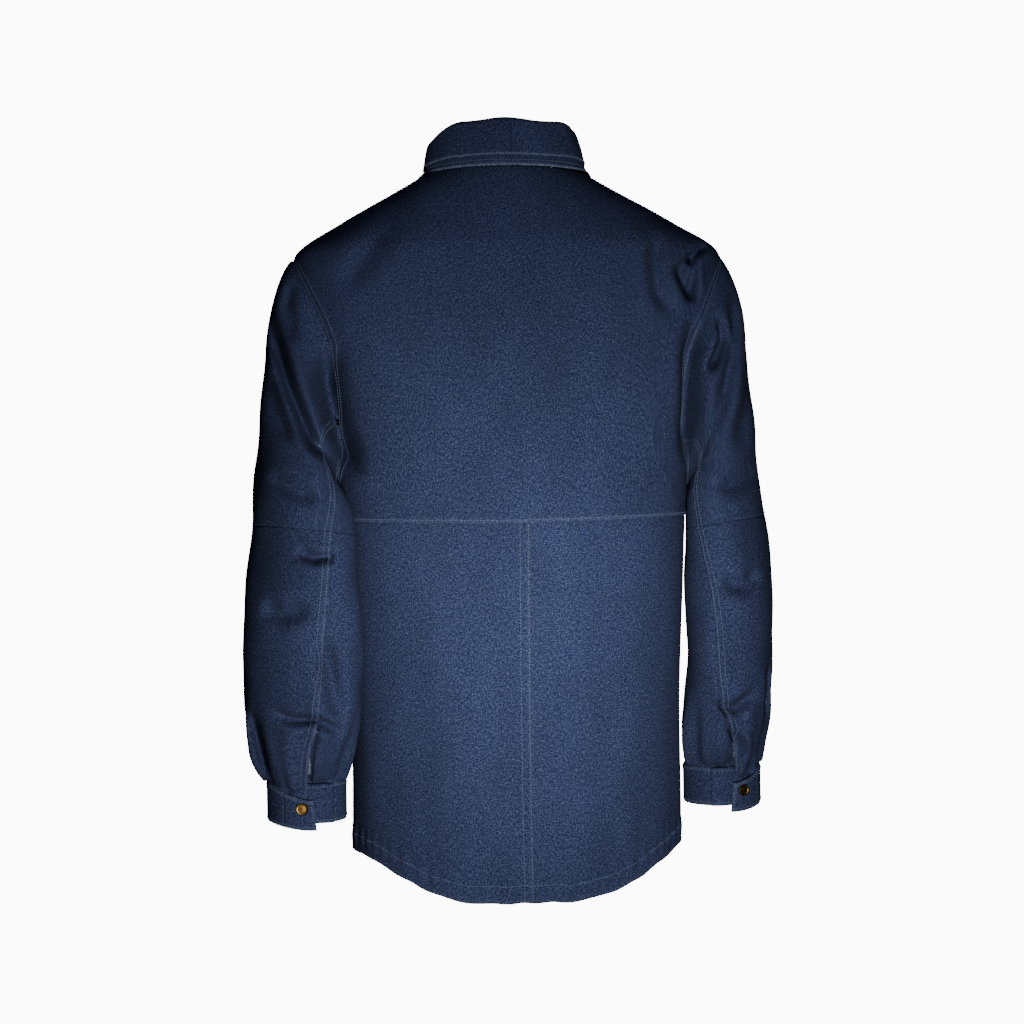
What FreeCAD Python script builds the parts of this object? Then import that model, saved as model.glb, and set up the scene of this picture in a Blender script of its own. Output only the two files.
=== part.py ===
import FreeCAD, Part
import math
import os

# A denim work and welding jacket, as it hangs when worn.  Millimetres.
# +Z is up, the back faces +Y and the wearer's left arm is at +X.  The origin is the middle of
# the neck opening, level with the collar seam at the centre back.

Vector = FreeCAD.Vector

# ---- cloth -------------------------------------------------------------------------------
cloth = 2.2             # one layer of heavy denim with its turned seams
facing_cloth = 1.4      # lighter layer inside the front edges and the neck
seam_gap = 0.5          # parting between two cut pieces at a seam
layer_gap = 0.6         # air between two layers that lie on each other
edge_gaps = (0.25, 0.25, 2.7, 2.7)     # half of it, and more at the sides of a panel drawn in there

# ---- body --------------------------------------------------------------------------------
body_length = 762.0     # centre back, collar seam to hem (30 in)
tail_drop = 44.0        # how much lower the hem hangs at the centre back than at the sides
yoke_drop = 370.0       # centre back, collar seam to the seam across the back
yoke_rise = 6.0         # how much that seam lifts towards the side seams
shoulder_half = 228.0   # centre to the top of the armhole
shoulder_drop = 92.0    # collar seam down to the top of the armhole
armhole_depth = 246.0   # top of the armhole down to the underarm
armhole_half = 72.0     # half the armhole's width, front to back
neck_half = 82.0        # half the neck opening's width
neck_back = 60.0        # origin back to the collar seam
neck_front = 86.0       # origin forward to the collar seam
chest_half = 186.0      # half the body's width under the arms
hem_half = 175.0        # half the body's width at the hem
back_depth = 126.0      # origin back to the shoulder blades
front_depth = 127.0     # origin forward to the chest

# ---- front opening -----------------------------------------------------------------------
overlap_half = 20.0     # each front edge passes the centre by this much
facing_width = 52.0     # width of the facing inside each front edge
fold_half = 18.0        # half the width of the strip of cloth that folds when a front opens
fold_top_x = 70.0       # where the fold line meets the collar seam
fold_hem_x = 108.0      # where the fold line meets the hem
front_rows = 20         # rows of poles down a front
front_snaps = 6
first_snap_drop = 40.0  # front neck seam down to the first snap
last_snap_rise = 92.0   # hem up to the last snap

# ---- collar ------------------------------------------------------------------------------
stand_height = 44.0     # collar seam up to the fold, at the centre back
stand_fall = 22.0       # how much lower the fold is at the front edges
leaf_back = 50.0        # fold down to the leaf's edge at the centre back
leaf_point = 78.0       # the same at the collar points
leaf_stand_off = 6.5    # leaf's outer face to the stand's outer face, at the fold
leaf_clear = 4.0        # leaf to body, where the leaf lies on the shoulders
leaf_spread = 6.0       # extra distance of the leaf's edge from the stand
stand_in = 3.0          # foot of the stand inside the collar seam
stand_lift = 1.5        # foot of the stand above the collar seam
stand_lean = (5.0, 9.0) # fold further in than the collar seam, at the back and the front
front_turns = (20.0, 110.0)     # turn where the collar starts to change to the front, and its reach
fold_turns = (8.0, 14.0)        # fold line to the back of the collar, and to a front's side piece
collar_end_turn = -86.0

# ---- sleeves -----------------------------------------------------------------------------
sleeve_drop = 548.0     # top of the armhole down to the cuff seam
elbow_drop = 350.0      # top of the armhole down to the elbow
elbow_half = 42.0       # half the length of the cloth that creases at the elbow
head_drop = 252.0       # top of the armhole down to the end of the sleeve head
sleeve_clear = 3.0      # sleeve to body under the arm
cuff_height = 50.0
cuff_half = 42.0        # half the cuff's width, side to side
cuff_depth = 45.0       # half the cuff's depth, front to back
cuff_cloth = 3.0
tab_length = 34.0       # length of the cuff's overlapping end
tab_gap = 4.6           # air between the cuff's two ends, which the snap fills
vent_length = 96.0      # slit above the cuff
vent_width = 12.0       # width of the binding along the slit
vent_gap = 1.8          # sleeve to binding

# ---- small parts -------------------------------------------------------------------------
snap_cap_r = 6.35
snap_cap_h = 2.2
snap_ring_r = 5.2       # socket and stud flanges
snap_flange = 0.7
stud_r = 1.9
stud_h = 2.6
stud_clear = 0.5
shank_r = 1.1
seat_clear = 0.15       # a snap's flanges to the cloth they are clenched on
loop_width = 56.0
loop_hang = 16.0
loop_strip = 10.4
loop_cloth = 1.6
tape_height = 16.0

LEFT = 1.0
RIGHT = -1.0
parts = {}


# ---- curves and cloth --------------------------------------------------------------------
def mix(a, b, t):
    return a + (b - a) * t


def ramp(t):
    """A soft step from 0 to 1."""
    t = min(1.0, max(0.0, t))
    return t * t * (3.0 - 2.0 * t)


def along(stations, x):
    """Smooth values between stations: rows of (place, value, value, ...), places ascending."""
    x = min(max(x, stations[0][0]), stations[-1][0])
    last = len(stations) - 2
    i = 0
    while i < last and x > stations[i + 1][0]:
        i += 1
    p0 = stations[max(i - 1, 0)]
    p1 = stations[i]
    p2 = stations[i + 1]
    p3 = stations[min(i + 2, len(stations) - 1)]
    span = p2[0] - p1[0]
    t = (x - p1[0]) / span
    values = []
    for k in range(1, len(p1)):
        m1 = (p2[k] - p0[k]) / (p2[0] - p0[0]) * span
        m2 = (p3[k] - p1[k]) / (p3[0] - p1[0]) * span
        a = 2.0 * p1[k] - 2.0 * p2[k] + m1 + m2
        b = -3.0 * p1[k] + 3.0 * p2[k] - 2.0 * m1 - m2
        values.append(((a * t + b) * t + m1) * t + p1[k])
    return values


def unit(v):
    return v * (1.0 / max(v.Length, 1e-9))


def shrink(grid, gaps):
    """Draws the four edges of a grid of points in: first row, last row, first and last column."""
    top, bottom, left, right = gaps
    rows = [list(row) for row in grid]
    for j in range(len(rows[0])):
        rows[0][j] = grid[0][j] + unit(grid[1][j] - grid[0][j]) * top
        rows[-1][j] = grid[-1][j] + unit(grid[-2][j] - grid[-1][j]) * bottom
    grid = [list(row) for row in rows]
    for i in range(len(rows)):
        rows[i][0] = grid[i][0] + unit(grid[i][1] - grid[i][0]) * left
        rows[i][-1] = grid[i][-1] + unit(grid[i][-2] - grid[i][-1]) * right
    return rows


def offset(grid, distance):
    """The same grid moved along its normals, away from the side that its rows turn round."""
    rows = []
    last_i = len(grid) - 1
    last_j = len(grid[0]) - 1
    for i in range(last_i + 1):
        row = []
        for j in range(last_j + 1):
            down = grid[min(i + 1, last_i)][j] - grid[max(i - 1, 0)][j]
            across = grid[i][min(j + 1, last_j)] - grid[i][max(j - 1, 0)]
            row.append(grid[i][j] + unit(across.cross(down)) * distance)
        rows.append(row)
    return rows


def spline_face(poles):
    """A smooth face pulled towards a grid of points and ending on its edges."""
    degrees = []
    knots = []
    mults = []
    for count in (len(poles), len(poles[0])):
        degree = min(3, count - 1)
        spans = count - degree
        degrees.append(degree)
        knots.append([float(k) for k in range(spans + 1)])
        mults.append([degree + 1] + [1] * (spans - 1) + [degree + 1])
    surface = Part.BSplineSurface()
    surface.buildFromPolesMultsKnots(poles, mults[0], mults[1], knots[0], knots[1],
                                     False, False, degrees[0], degrees[1])
    return surface.toShape()


def sheet(grid, thickness, gaps=None):
    """A closed solid of cloth: the grid is its outer face, its thickness goes inwards."""
    half = seam_gap / 2.0
    outer = shrink(grid, gaps if gaps else (half, half, half, half))
    inner = offset(outer, -thickness)
    faces = [spline_face(outer), spline_face(inner)]
    for edge in (0, -1):
        faces.append(spline_face([outer[edge], inner[edge]]))
        faces.append(spline_face([[row[edge] for row in outer], [row[edge] for row in inner]]))
    shell = Part.makeShell(faces)
    shell.sewShape()
    solid = Part.makeSolid(Part.Shell(shell.Faces))
    if solid.Volume < 0:
        solid.reverse()
    return solid


def save(name, shape):
    parts[name] = shape


# ---- the body's surface ------------------------------------------------------------------
hem_side = -(body_length - tail_drop)
shoulder_z = -shoulder_drop
underarm_z = -(shoulder_drop + armhole_depth)
armhole_mid = (shoulder_z + underarm_z) / 2.0

# height, half width, depth at the back, depth at the front, squareness of the section
levels = [
    (-body_length, hem_half, back_depth - 4.0, front_depth + 9.0, 2.3),
    (-0.72 * body_length, hem_half + 2.0, back_depth - 2.0, front_depth + 6.0, 2.35),
    (underarm_z, chest_half, back_depth, front_depth, 2.6),
    (mix(shoulder_z, underarm_z, 0.45), mix(shoulder_half, chest_half, 0.55), back_depth - 7.0,
     front_depth - 10.0, 3.0),
    (shoulder_z, shoulder_half, back_depth - 25.0, front_depth - 24.0, 2.5),
    (mix(shoulder_z, 0.0, 0.4), mix(shoulder_half, neck_half, 0.34), mix(neck_back, back_depth, 0.42),
     neck_front - 2.0, 2.2),
    (mix(shoulder_z, 0.0, 0.85), mix(shoulder_half, neck_half, 0.84), neck_back + 8.0,
     neck_front - 25.0, 2.1),
    (0.0, neck_half, neck_back, neck_front - 35.0, 2.0),
]


def body_point(angle, z):
    """On the cloth at a height: 90 is the centre back, 0 the side and -90 the centre front."""
    half, back, front, power = along(levels, z)
    c = max(math.cos(math.radians(angle)), 0.0)
    s = math.sin(math.radians(angle))
    depth = back if s > 0 else -front
    return Vector(half * c ** (2.0 / power), depth * abs(s) ** (2.0 / power), z)


def body_angle(y, z):
    """The angle of the point of the section that has this y."""
    half, back, front, power = along(levels, z)
    share = min(1.0, abs(y) / (back if y > 0 else front)) ** (power / 2.0)
    return math.copysign(math.degrees(math.asin(share)), y)


def body_x(y, z):
    return body_point(body_angle(y, z), z).x


def angle_at_x(x, z):
    """The angle on the front half whose point has this x."""
    half, back, front, power = along(levels, z)
    return -math.degrees(math.acos(min(1.0, max(0.0, x / half)) ** (power / 2.0)))


def neck_height(x, y):
    """The height at which the cloth passes over a point of the plan."""
    low, high = shoulder_z, 0.0
    for step in range(40):
        z = (low + high) / 2.0
        half, back, front, power = along(levels, z)
        inside = (x / half) ** power + (abs(y) / (back if y > 0 else front)) ** power < 1.0
        if inside:
            low = z
        else:
            high = z
    return (low + high) / 2.0


def neck_point(turn):
    """The collar seam: 90 is the centre back, 0 the side of the neck, -90 the centre front."""
    x = neck_half * math.cos(math.radians(turn))
    s = math.sin(math.radians(turn))
    y = (neck_back if s > 0 else neck_front) * s
    return Vector(x, y, neck_height(x, y) if s < 0 else 0.0)


def hem_height(angle):
    return hem_side - tail_drop * ramp((angle - 15.0) / 65.0)


def armhole_point(turn):
    """The armhole: 0 at its top, 90 at the back, 180 at the underarm."""
    z = armhole_mid + armhole_depth / 2.0 * math.cos(math.radians(turn))
    y = armhole_half * math.sin(math.radians(turn))
    return Vector(body_x(y, z), y, z)


def mirror_x(point, side):
    return Vector(point.x * side, point.y, point.z)


def sided(grid, side):
    """A grid made for the left side, or its mirror image, with its outer face kept outside."""
    if side > 0:
        return grid
    return [[mirror_x(p, RIGHT) for p in reversed(row)] for row in grid]


def row_between(start, end, columns):
    """Points on the body from one (angle, height) to another."""
    points = []
    for j in range(columns + 1):
        u = j / columns
        points.append(body_point(mix(start[0], end[0], u), mix(start[1], end[1], u)))
    return points


def side_edge(face):
    """(angle, height) down the side edge of a back (1) or front (-1) piece."""
    edge = [(0.0, 0.0)]
    for step in range(1, 6):
        edge.append((0.0, shoulder_z * step / 5.0))
    for step in range(1, 12):
        p = armhole_point(face * 15.0 * step)
        edge.append((body_angle(p.y, p.z), p.z))
    edge.append((0.0, underarm_z))
    return edge


# ---- back --------------------------------------------------------------------------------
def yoke_seam(angle):
    return -yoke_drop + yoke_rise * (1.0 - abs(angle) / 90.0) ** 2


def make_back_yoke():
    edge = side_edge(1.0) + [(0.0, yoke_seam(0.0))]
    rows = []
    for k, (angle, z) in enumerate(edge):
        middle_z = -yoke_drop * (k / (len(edge) - 1.0)) ** 1.15
        half = row_between((90.0, middle_z), (angle, z), 9)
        rows.append([mirror_x(p, RIGHT) for p in reversed(half[1:])] + half)
    save("back_yoke", sheet(rows, cloth))


def make_back_panel(side, name):
    rows = []
    for k in range(11):
        t = k / 10.0
        row = []
        for j in range(10):
            angle = 90.0 - 10.0 * j
            row.append(body_point(angle, mix(yoke_seam(angle), hem_height(angle), t)))
        rows.append(row)
    save(name, sheet(sided(rows, side), cloth))


# ---- fronts ------------------------------------------------------------------------------
front_neck_z = neck_point(-90.0).z
fold_turn = -math.degrees(math.acos(fold_top_x / neck_half))
fold_top = neck_point(fold_turn)
snap_gap = 3.5          # air between the two front edges, which the snaps fill
edge_layers = cloth + facing_cloth + layer_gap
under_step = edge_layers + snap_gap


def fold_x(z):
    return mix(fold_top_x, fold_hem_x, (fold_top.z - z) / (fold_top.z - hem_side))


def make_front_side(side, name):
    """The part of a front between the fold line and the side seam."""
    outer = side_edge(-1.0)
    for step in range(1, 9):
        outer.append((0.0, mix(underarm_z, hem_side, step / 8.0)))
    count = len(outer) - 1
    rows = [[neck_point(mix(fold_turn + fold_turns[1], 0.0, j / 8.0)) for j in range(9)]]
    for k in range(1, count + 1):
        z = mix(fold_top.z, hem_side, (k / count) ** 1.1)
        rows.append(row_between((angle_at_x(fold_x(z) + fold_half, z), z), outer[k], 8))
    save(name, sheet(sided([list(reversed(row)) for row in rows], side), cloth))


def front_top(x):
    """Height of the front neck edge at x."""
    turn = -math.degrees(math.acos(min(1.0, abs(x) / neck_half)))
    return neck_point(turn).z


def front_out(z):
    """Outward direction of the cloth at the centre front."""
    return unit(Vector(1, 0, 0).cross(body_point(-90.0, z + 8.0) - body_point(-90.0, z - 8.0)))


def front_grid(x_in, x_out_share, step_in, inset, columns, low_cut=0.0, high_cut=0.0):
    """A front's grid from its inner edge x_in to a share of the way out to the fold strip."""
    rows = []
    for k in range(front_rows + 1):
        t = k / front_rows
        row = []
        for j in range(columns + 1):
            u = j / columns
            edge_z = mix(front_top(fold_top_x - fold_half), hem_side, t)
            x_out = mix(x_in, fold_x(edge_z) - fold_half, x_out_share)
            x = mix(x_out, x_in, u)
            z = mix(front_top(x) - high_cut, hem_side + low_cut, t)
            p = body_point(angle_at_x(abs(x), z), z)
            edge = fold_x(z) - fold_half
            sink = step_in * ramp((edge - x) / (edge - overlap_half))
            row.append(Vector(x, p.y, z) - front_out(z) * (sink + inset))
        rows.append(row)
    return rows


def make_front_panel(side, name, step_in):
    grid = front_grid(-overlap_half, 1.0, step_in, 0.0, 8)
    save(name, sheet(sided(grid, side), cloth, edge_gaps))


def make_facing(side, name, step_in):
    share = facing_width / (fold_x(front_neck_z) - fold_half + overlap_half)
    grid = front_grid(-overlap_half, share, step_in, cloth + layer_gap, 5, 4.0, 3.0)
    save(name, sheet(sided(grid, side), facing_cloth))


def make_fold_strip(side, name):
    """The strip of a front that bends along the fold line when the front opens."""
    rows = []
    for k in range(21):
        z = mix(fold_top.z, hem_side, k / 20.0)
        row = []
        for j in range(5):
            x = fold_x(z) + mix(fold_half, -fold_half, j / 4.0)
            top = front_top(x) if k == 0 else z
            row.append(body_point(angle_at_x(x, top), top))
        rows.append(row)
    save(name, sheet(sided(rows, side), cloth))


# ---- collar ------------------------------------------------------------------------------
def collar_seam(turn):
    if turn >= -90.0:
        return neck_point(turn)
    p = neck_point(-180.0 - turn)
    return Vector(-p.x, p.y, p.z)


def collar_row(turn):
    """Foot and top of the stand at a turn round the neck."""
    foot = collar_seam(turn)
    front = ramp((front_turns[0] - turn) / front_turns[1])
    out = unit(Vector(foot.x, foot.y, 0.0))
    height = stand_height - stand_fall * front
    lean = mix(stand_lean[0], stand_lean[1], front)
    top = foot + Vector(0, 0, height) - out * lean
    lift = Vector(0, 0, stand_lift)
    return foot + lift - out * stand_in, top, out, front


def collar_turns(zone):
    fold_in = fold_turn + fold_turns[0]
    if zone == "back":
        return [mix(180.0 - fold_in, fold_in, j / 18.0) for j in range(19)]
    return [mix(fold_in, collar_end_turn, j / 8.0) for j in range(9)]


def make_collar_stand(zone, side, name):
    rows = [[] for k in range(5)]
    for turn in collar_turns(zone):
        mirrored = turn > 90.0
        foot, top, out, front = collar_row(180.0 - turn if mirrored else turn)
        for k in range(5):
            p = foot + (top - foot) * (1.0 - k / 4.0)
            rows[k].append(mirror_x(p, RIGHT) if mirrored else p)
    save(name, sheet(sided(rows, side), cloth))


def clear_of_body(p, distance):
    """Moves a point outwards in plan until it is the distance outside the body's cloth."""
    if p.z > 0.0:
        return p
    half, back, front, power = along(levels, p.z)
    depth = back if p.y > 0 else front
    share = ((abs(p.x) / half) ** power + (abs(p.y) / depth) ** power) ** (1.0 / power)
    reach = math.hypot(p.x, p.y)
    return Vector(p.x, p.y, 0.0) * (max(share, 1.0 + distance / reach) / share) + Vector(0, 0, p.z)


def make_collar_leaf(zone, side, name):
    rows = [[] for k in range(9)]
    for turn in collar_turns(zone):
        mirrored = turn > 90.0
        foot, top, out, front = collar_row(180.0 - turn if mirrored else turn)
        fall = mix(leaf_back, leaf_point, front ** 2)
        crest = top + Vector(0, 0, 4.0 + layer_gap)
        spread = leaf_spread + 10.0 * front
        for k in range(9):
            t = k / 8.0
            away = leaf_stand_off * math.sin(min(1.0, 4.0 * t) * math.pi / 2.0) + spread * t
            p = crest + out * (away - cloth) - Vector(0, 0, fall * t ** 1.5)
            p = clear_of_body(p, cloth + leaf_clear)
            rows[k].append(mirror_x(p, RIGHT) if mirrored else p)
    save(name, sheet(sided(rows, side), cloth, (0.25, 0.25, 0.5, 0.5)))


# ---- sleeves -----------------------------------------------------------------------------
# share of the drop, outer edge past the shoulder (left, right), share of the way that the inner
# edge has come from the underarm to the cuff, how far back the middle lies (left, right),
# half depth, skew towards the back of the body (left, right)
sleeve_rows = [
    (0.000, 3.0, 3.0, 0.000, 0.0, 0.0, 84.0, 0.0, 0.0),
    (0.012, 18.0, 18.0, 0.000, 2.0, 0.0, 82.0, 2.0, 1.0),
    (0.058, 27.0, 27.0, 0.010, 6.0, 1.0, 80.0, 4.0, 2.0),
    (0.142, 31.0, 30.0, 0.020, 12.0, 2.0, 79.0, 7.0, 4.0),
    (0.260, 34.0, 34.0, 0.035, 20.0, 4.0, 78.0, 10.0, 6.0),
    (0.380, 39.0, 40.0, 0.060, 28.0, 6.0, 77.0, 13.0, 8.0),
    (0.498, 45.0, 47.0, 0.130, 36.0, 8.0, 76.0, 16.0, 9.0),
    (0.608, 51.0, 53.0, 0.300, 43.0, 8.0, 76.0, 18.0, 10.0),
    (0.708, 56.0, 55.0, 0.470, 46.0, 8.0, 75.0, 18.0, 10.0),
    (0.808, 60.0, 53.0, 0.655, 44.0, 5.0, 74.0, 18.0, 10.0),
    (0.890, 62.0, 48.0, 0.800, 36.0, 0.0, 70.0, 15.0, 8.0),
    (0.955, 54.0, 43.0, 0.918, 27.0, -6.0, 61.0, 10.0, 6.0),
    (1.000, 45.0, 40.0, 1.000, 22.0, -10.0, 51.0, 6.0, 4.0),
]


cuff_x = shoulder_half - 3.0


def sleeve_row(t, side):
    """(outer x, outer z, inner x, inner z, middle y, half depth, skew) at a share of the drop."""
    out_l, out_r, low, left_y, right_y, half_y, left_skew, right_skew = along(sleeve_rows, t)
    out = out_l if side > 0 else out_r
    middle_y = left_y if side > 0 else right_y
    skew = left_skew if side > 0 else right_skew
    outer_z = shoulder_z - t * sleeve_drop
    inner_z = mix(underarm_z - sleeve_clear, shoulder_z - sleeve_drop, low)
    inner_x = body_x(middle_y + skew * 1.1, inner_z) + sleeve_clear + cloth * 0.5
    inner_x = mix(inner_x, cuff_x - cuff_half - 1.0, ramp((t - 0.85) / 0.15))
    return shoulder_half + out, outer_z, inner_x, inner_z, middle_y, half_y, skew


def sleeve_point(t, turn, side):
    """On a left-hand sleeve: turn 0 is outermost, 90 the back, 180 against the body."""
    x1, z1, x2, z2, middle_y, half_y, skew = sleeve_row(t, side)
    c = math.cos(math.radians(turn))
    s = math.sin(math.radians(turn))
    p = Vector(mix(x2, x1, (1.0 + c) / 2.0) - skew * s, middle_y + half_y * s,
               mix(z2, z1, (1.0 + c) / 2.0))
    seam = armhole_point(turn) + Vector(sleeve_clear, 0.0, 0.0)
    away = ramp(t / sleeve_blend)
    return clear_of_body(p * away + seam * (1.0 - away), sleeve_clear * away)


sleeve_blend = 0.16     # share of the drop over which the sleeve leaves the armhole's shape
back_seam = 112.0       # turn of the sleeve's double-stitched back seam
front_seam = -122.0     # turn of its front seam


def tube_grid(t0, t1, rows, turn0, turn1, columns, side):
    grid = []
    for k in range(rows + 1):
        t = mix(t0, t1, k / rows)
        grid.append([sleeve_point(t, mix(turn1, turn0, j / columns), side)
                     for j in range(columns + 1)])
    return grid


def make_sleeve(side, word):
    head_end = head_drop / sleeve_drop
    elbow = elbow_drop / sleeve_drop
    bend = elbow_half / sleeve_drop
    zones = [("upper", head_end, elbow - bend, 5), ("lower", elbow + bend, 1.0, 9)]
    start = 0.006
    save("sleeve_%s_head" % word,
         sheet(sided(tube_grid(start, head_end, 12, back_seam - 360.0, back_seam, 32, side), side),
               cloth))
    save("sleeve_%s_elbow" % word,
         sheet(sided(tube_grid(elbow - bend, elbow + bend, 5, back_seam - 360.0, back_seam, 32,
                               side), side), cloth))
    for zone, t0, t1, rows in zones:
        top = tube_grid(t0, t1, rows, front_seam, back_seam, 20, side)
        under = tube_grid(t0, t1, rows, back_seam, front_seam + 360.0, 12, side)
        save("sleeve_%s_top_%s" % (word, zone), sheet(sided(top, side), cloth))
        save("sleeve_%s_under_%s" % (word, zone), sheet(sided(under, side), cloth))


# ---- cuffs -------------------------------------------------------------------------------
cuff_top_z = shoulder_z - sleeve_drop - 1.0
cuff_split = {LEFT: 76.0, RIGHT: 61.0}      # turn at which each cuff opens


def cuff_middle_y(side):
    return sleeve_rows[-1][4] if side > 0 else sleeve_rows[-1][5]


def cuff_point(turn, z, side, away=0.0):
    c = math.cos(math.radians(turn))
    s = math.sin(math.radians(turn))
    out = unit(Vector(c / cuff_half, s / cuff_depth, 0.0))
    ring = Vector(cuff_x + cuff_half * c, cuff_middle_y(side) + cuff_depth * s, z)
    return ring + out * away


def cuff_grid(turn0, turn1, columns, side, away0, away1, z_top, z_low, reach=1.0):
    """away1 at turn1, easing to away0 within 1 / reach of the way to turn0."""
    grid = []
    for k in range(5):
        z = mix(z_top, z_low, k / 4.0)
        row = []
        for j in range(columns + 1):
            u = j / columns
            away = mix(away1, away0, ramp(u * reach))
            row.append(cuff_point(mix(turn1, turn0, u), z, side, away))
        grid.append(row)
    return grid


def degrees_for(length):
    return math.degrees(length / cuff_half)


def make_cuff(side, word):
    """A band that opens at the back; its outer end laps over its inner end on a snap."""
    low_z = cuff_top_z - cuff_height
    tab = degrees_for(tab_length)
    hinge = cuff_split[side] - tab * 0.45
    join = cuff_split[side] + degrees_for(42.0)
    sunk = -(cuff_cloth + tab_gap)
    band = cuff_grid(join - 360.0, hinge, 32, side, 0.0, 0.0, cuff_top_z, low_z)
    save("cuff_%s" % word, sheet(sided(band, side), cuff_cloth))
    under = cuff_grid(hinge + 3.0, join, 12, side, sunk, 0.0, cuff_top_z, low_z, 1.7)
    save("cuff_%s_under_end" % word, sheet(sided(under, side), cuff_cloth, edge_gaps))
    end = cuff_grid(hinge, hinge + tab, 8, side, 0.0, 0.4, cuff_top_z, low_z)
    save("cuff_%s_tab" % word, sheet(sided(end, side), cuff_cloth))
    snap_turn = hinge + tab * 0.62
    z = (cuff_top_z + low_z) / 2.0
    seat = cuff_point(snap_turn, z, side, 2.0 * seat_clear)
    out = mirror_x(unit(cuff_point(snap_turn, z, side, 10.0) - seat), side)
    seat = mirror_x(seat, side)
    over = cuff_cloth + 0.5
    for name, shape in snap_pieces([(seat, out)], over, cuff_cloth, tab_gap - 0.2).items():
        save("cuff_%s_snap_%s" % (word, name), shape)


def make_vent(side, word):
    """The turned binding down the slit above a cuff."""
    grid = []
    slit = cuff_split[side] + 8.0
    t0 = 1.0 - vent_length / sleeve_drop
    for k in range(9):
        t = mix(t0, 0.995, k / 8.0)
        row = []
        for j in range(4):
            turn = slit + math.degrees(vent_width / cuff_half) * (0.5 - j / 3.0)
            inner = sleeve_point(t, turn, side)
            middle = sleeve_point(t, turn + 180.0, side)
            row.append(inner + unit(middle - inner) * (cloth + vent_gap))
        grid.append(row)
    save("vent_binding_%s" % word, sheet(sided(grid, side), facing_cloth))


# ---- snaps -------------------------------------------------------------------------------
def turned(profile, seat, out):
    """A solid of revolution about the outward line through seat; profile is (radius, height)."""
    points = [Vector(r, 0.0, h) for r, h in profile]
    face = Part.Face(Part.makePolygon(points + points[:1]))
    solid = face.revolve(Vector(), Vector(0, 0, 1), 360.0)
    if solid.ShapeType != "Solid":
        solid = Part.makeSolid(Part.Shell(solid.Faces))
    if solid.Volume < 0:
        solid.reverse()
    solid.Placement = FreeCAD.Placement(seat, FreeCAD.Rotation(Vector(0, 0, 1), out))
    return solid


def snap_pieces(seats, over_cloth, under_cloth, air):
    """Cap, socket, stud and post at each (seat, outward direction).

    The seat is on the outer face of the upper layer; air is the space between the two layers.
    """
    cap_r, cap_h = snap_cap_r, snap_cap_h
    cap = [(0, 0.05), (cap_r - 0.5, 0.05), (cap_r, 0.55), (cap_r - 0.15, 1.25), (cap_r - 0.9, cap_h),
           (cap_r - 1.7, cap_h - 0.15), (cap_r - 2.4, cap_h - 0.75), (0, cap_h - 0.55)]
    shank = [(0, -over_cloth - 0.35), (shank_r, -over_cloth - 0.35), (shank_r, 0.05), (0, 0.05)]
    base = -over_cloth - 0.15
    hole = stud_r + stud_clear
    wall = hole + 0.8
    deep = min(air - snap_flange - 0.7, stud_h)
    socket = [(shank_r + 0.05, base), (snap_ring_r, base), (snap_ring_r, base - snap_flange),
              (wall, base - snap_flange - 0.3), (wall, base - deep), (hole, base - deep),
              (hole, base - snap_flange), (shank_r + 0.05, base - snap_flange + 0.2)]
    floor = -over_cloth - air + 0.15
    stud = [(shank_r + 0.05, floor), (snap_ring_r, floor), (snap_ring_r, floor + snap_flange),
            (stud_r - 0.1, floor + snap_flange + 0.1), (stud_r, floor + air * 0.55),
            (stud_r - 0.3, floor + air * 0.62), (shank_r + 0.05, floor + air * 0.62)]
    back = -over_cloth - air - under_cloth - 0.1
    post = [(0, back - 0.7), (snap_ring_r - 0.6, back - 0.7), (snap_ring_r, back - 0.3),
            (snap_ring_r, back), (shank_r, back), (shank_r, floor + air * 0.55),
            (0, floor + air * 0.55)]
    groups = {}
    for name, profile in (("cap", cap), ("socket", socket), ("stud", stud), ("post", post)):
        solids = [turned(profile, seat, out) for seat, out in seats]
        if name == "cap":
            solids = [s.fuse(turned(shank, seat, out)) for s, (seat, out) in zip(solids, seats)]
            solids = [s.Solids[0] for s in solids]
        groups[name] = solids[0] if len(solids) == 1 else Part.makeCompound(solids)
    return groups


def make_front_snaps():
    seats = []
    top = front_neck_z - first_snap_drop
    low = hem_side + last_snap_rise
    row_step = (front_neck_z - hem_side) / front_rows
    for k in range(front_snaps):
        z = mix(top, low, k / (front_snaps - 1.0))
        above = body_point(-90.0, z + row_step)
        below = body_point(-90.0, z - row_step)
        p = (above + body_point(-90.0, z) * 4.0 + below) * (1.0 / 6.0)
        seats.append((p + front_out(z) * seat_clear, front_out(z)))
    over = edge_layers + 0.7
    air = under_step - over - seat_clear
    for name, shape in snap_pieces(seats, over, edge_layers, air).items():
        save("front_snap_%ss" % name, shape)


# ---- inside ------------------------------------------------------------------------------
def make_neck_tape():
    rows = []
    for k in range(4):
        row = []
        for j in range(17):
            turn = 150.0 - 7.5 * j
            p = neck_point(180.0 - turn if turn > 90.0 else turn)
            p = mirror_x(p, RIGHT) if turn > 90.0 else p
            out = unit(Vector(p.x, p.y, 0.0))
            depth = tape_height * k / 3.0
            row.append(p - out * (cloth + 7.0 - 0.3 * depth) - Vector(0, 0, depth + 2.0))
        rows.append(row)
    save("neck_tape", sheet(rows, facing_cloth))


def make_hang_loop():
    """A strip sewn by its two ends under the collar, hanging in a shallow bow."""
    rows = []
    tape = neck_back - cloth - 12.5
    for k in range(3):
        row = []
        for j in range(13):
            u = mix(1.0, -1.0, j / 12.0)
            fall = loop_hang * (1.0 - u * u)
            y = tape - 0.02 * (loop_width / 2.0 * u) ** 2 * 0.6
            row.append(Vector(loop_width / 2.0 * u, y, -8.0 - fall - loop_strip * k / 2.0))
        rows.append(list(reversed(row)))
    save("hang_loop", sheet(rows, loop_cloth))


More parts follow.
